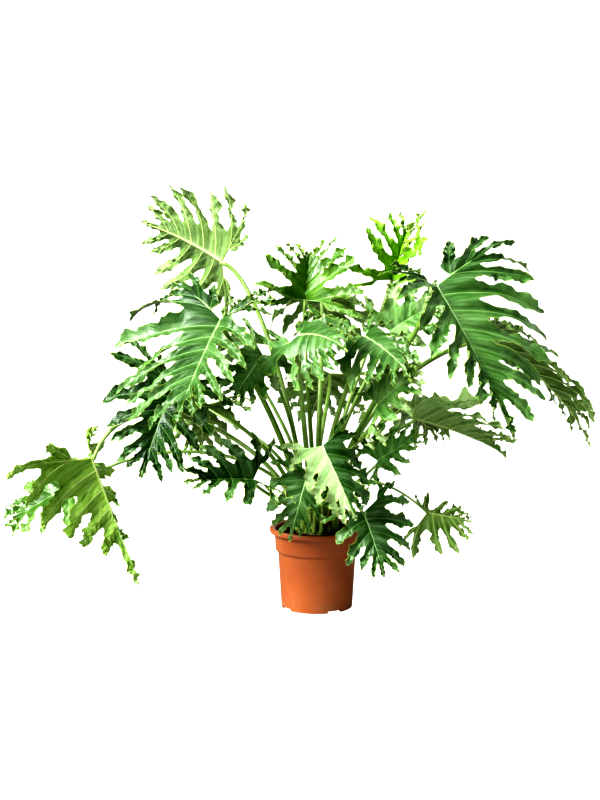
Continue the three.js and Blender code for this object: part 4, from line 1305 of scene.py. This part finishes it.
def crown_sheaths(material):
    fine = random.Random(17)
    spots = [(38, 25, 48), (40, 92, 38), (39, 150, 55), (38, 214, 34), (40, 262, 46), (54, 300, 60),
             (39, 322, 30), (19, 70, 70), (20, 200, 62), (19, 310, 66)]
    for i, (distance, azimuth, height) in enumerate(spots, 1):
        turn = math.radians(azimuth)
        foot = [distance * MM * math.cos(turn), distance * MM * math.sin(turn), 202 * MM]
        lean = (turn, math.radians(fine.uniform(2, 14)), fine.uniform(-0.5, -0.2))
        sheath_piece(f"dry_sheath_{i:02d}", foot, lean, height * MM, fine.uniform(9, 15) * MM, material)


# ---------------------------------------------------------------- the plant

leaf_materials = [leaf_upper_material(), leaf_under_material(), leaf_edge_material()]
stalk_skin = stalk_material()

for number, (*first_values, named_values) in enumerate(LEAVES, 1):
    leaf = {**LEAF_DEFAULTS, **dict(zip(LEAF_KEYS, first_values)), **named_values}
    root, normal = blade_piece(number, leaf, leaf_materials)
    stalk_piece(number, leaf, root, normal, stalk_skin)

pot_piece(pot_material())
soil_piece(soil_material())
crown_piece(crown_material())
crown_sheaths(dry_sheath_material())

# ---------------------------------------------------------------- stage, lights and camera


def stage_material():
    """A white floor. Part of its white is its own, for the camera alone, so that it throws little
    light back up and the shadow on it stays pale."""
    shader = Shader("stage_white")
    seen = shader.node("ShaderNodeLightPath").outputs["Is Camera Ray"]
    material = shader.finish((0.40, 0.40, 0.40, 1), 0.9)
    white = shader.node("ShaderNodeEmission", (1, 1, 1, 1), 1.25).outputs[0]
    share = shader.times(seen, 0.7)
    mixed = shader.node("ShaderNodeMixShader", share, shader.surface.outputs[0], white)
    shader.tree.links.new(mixed.outputs[0], shader.tree.nodes["Material Output"].inputs["Surface"])
    return material


def add_floor():
    half = 30.0
    corners = [(half * x, half * y, 0) for x, y in ((-1, -1), (1, -1), (1, 1), (-1, 1))]
    mesh = bpy.data.meshes.new("floor")
    mesh.from_pydata(corners, [], [(0, 1, 2, 3)])
    mesh.materials.append(stage_material())
    floor = bpy.data.objects.new("floor", mesh)
    bpy.context.scene.collection.objects.link(floor)


def add_sun(name, place, spread, strength):
    """A broad, even light from far away, like a large softbox."""
    light = bpy.data.lights.new(name, "SUN")
    light.angle = math.radians(spread)
    light.energy = strength
    lamp = bpy.data.objects.new(name, light)
    lamp.location = place
    lamp.rotation_euler = look_along(-np.array(place, float))
    bpy.context.scene.collection.objects.link(lamp)


def look_along(direction):
    """The turns that point a camera or lamp along a direction."""
    x, y, z = unit(np.array(direction, float))
    return (math.atan2(math.hypot(x, y), -z), 0, math.atan2(-x, y))


def add_world():
    world = bpy.data.worlds.new("studio")
    bpy.context.scene.world = world
    world.use_nodes = True
    nodes, links = world.node_tree.nodes, world.node_tree.links
    seen = nodes.new("ShaderNodeBackground")
    seen.inputs[0].default_value = (1, 1, 1, 1)
    seen.inputs[1].default_value = 1.0
    lit = nodes["Background"]
    lit.inputs[0].default_value = (0.96, 0.98, 1.0, 1)
    lit.inputs[1].default_value = 0.04
    path = nodes.new("ShaderNodeLightPath")
    mix = nodes.new("ShaderNodeMixShader")
    links.new(path.outputs["Is Camera Ray"], mix.inputs[0])
    links.new(lit.outputs[0], mix.inputs[1])
    links.new(seen.outputs[0], mix.inputs[2])
    links.new(mix.outputs[0], nodes["World Output"].inputs["Surface"])


def add_camera():
    """The photograph's view: 5 m away, 8.5 degrees up."""
    target = np.array([-0.043, 0, 0.530])
    distance, elevation = 5.0, math.radians(8.5)
    place = target + distance * np.array([0, -math.cos(elevation), math.sin(elevation)])
    data = bpy.data.cameras.new("camera")
    data.sensor_width = 36
    data.lens = 89.5
    data.clip_end = 100
    camera = bpy.data.objects.new("camera", data)
    camera.location = place
    camera.rotation_euler = look_along(target - place)
    bpy.context.scene.collection.objects.link(camera)
    bpy.context.scene.camera = camera


add_floor()
add_world()
add_sun("key", (-3.0, -1.6, 3.0), 30, 6.7)
add_sun("front", (-0.6, -3.0, 2.4), 60, 1.0)
add_sun("back", (2.4, 3.0, 2.6), 90, 1.4)
add_camera()
view = bpy.context.scene.view_settings
view.view_transform = "Standard"
view.look = "Very High Contrast"
# a small black level, because the photo's shadows are deep and strong in colour
view.use_curve_mapping = True
view.curve_mapping.black_level = (0.014, 0.014, 0.014)
view.curve_mapping.update()
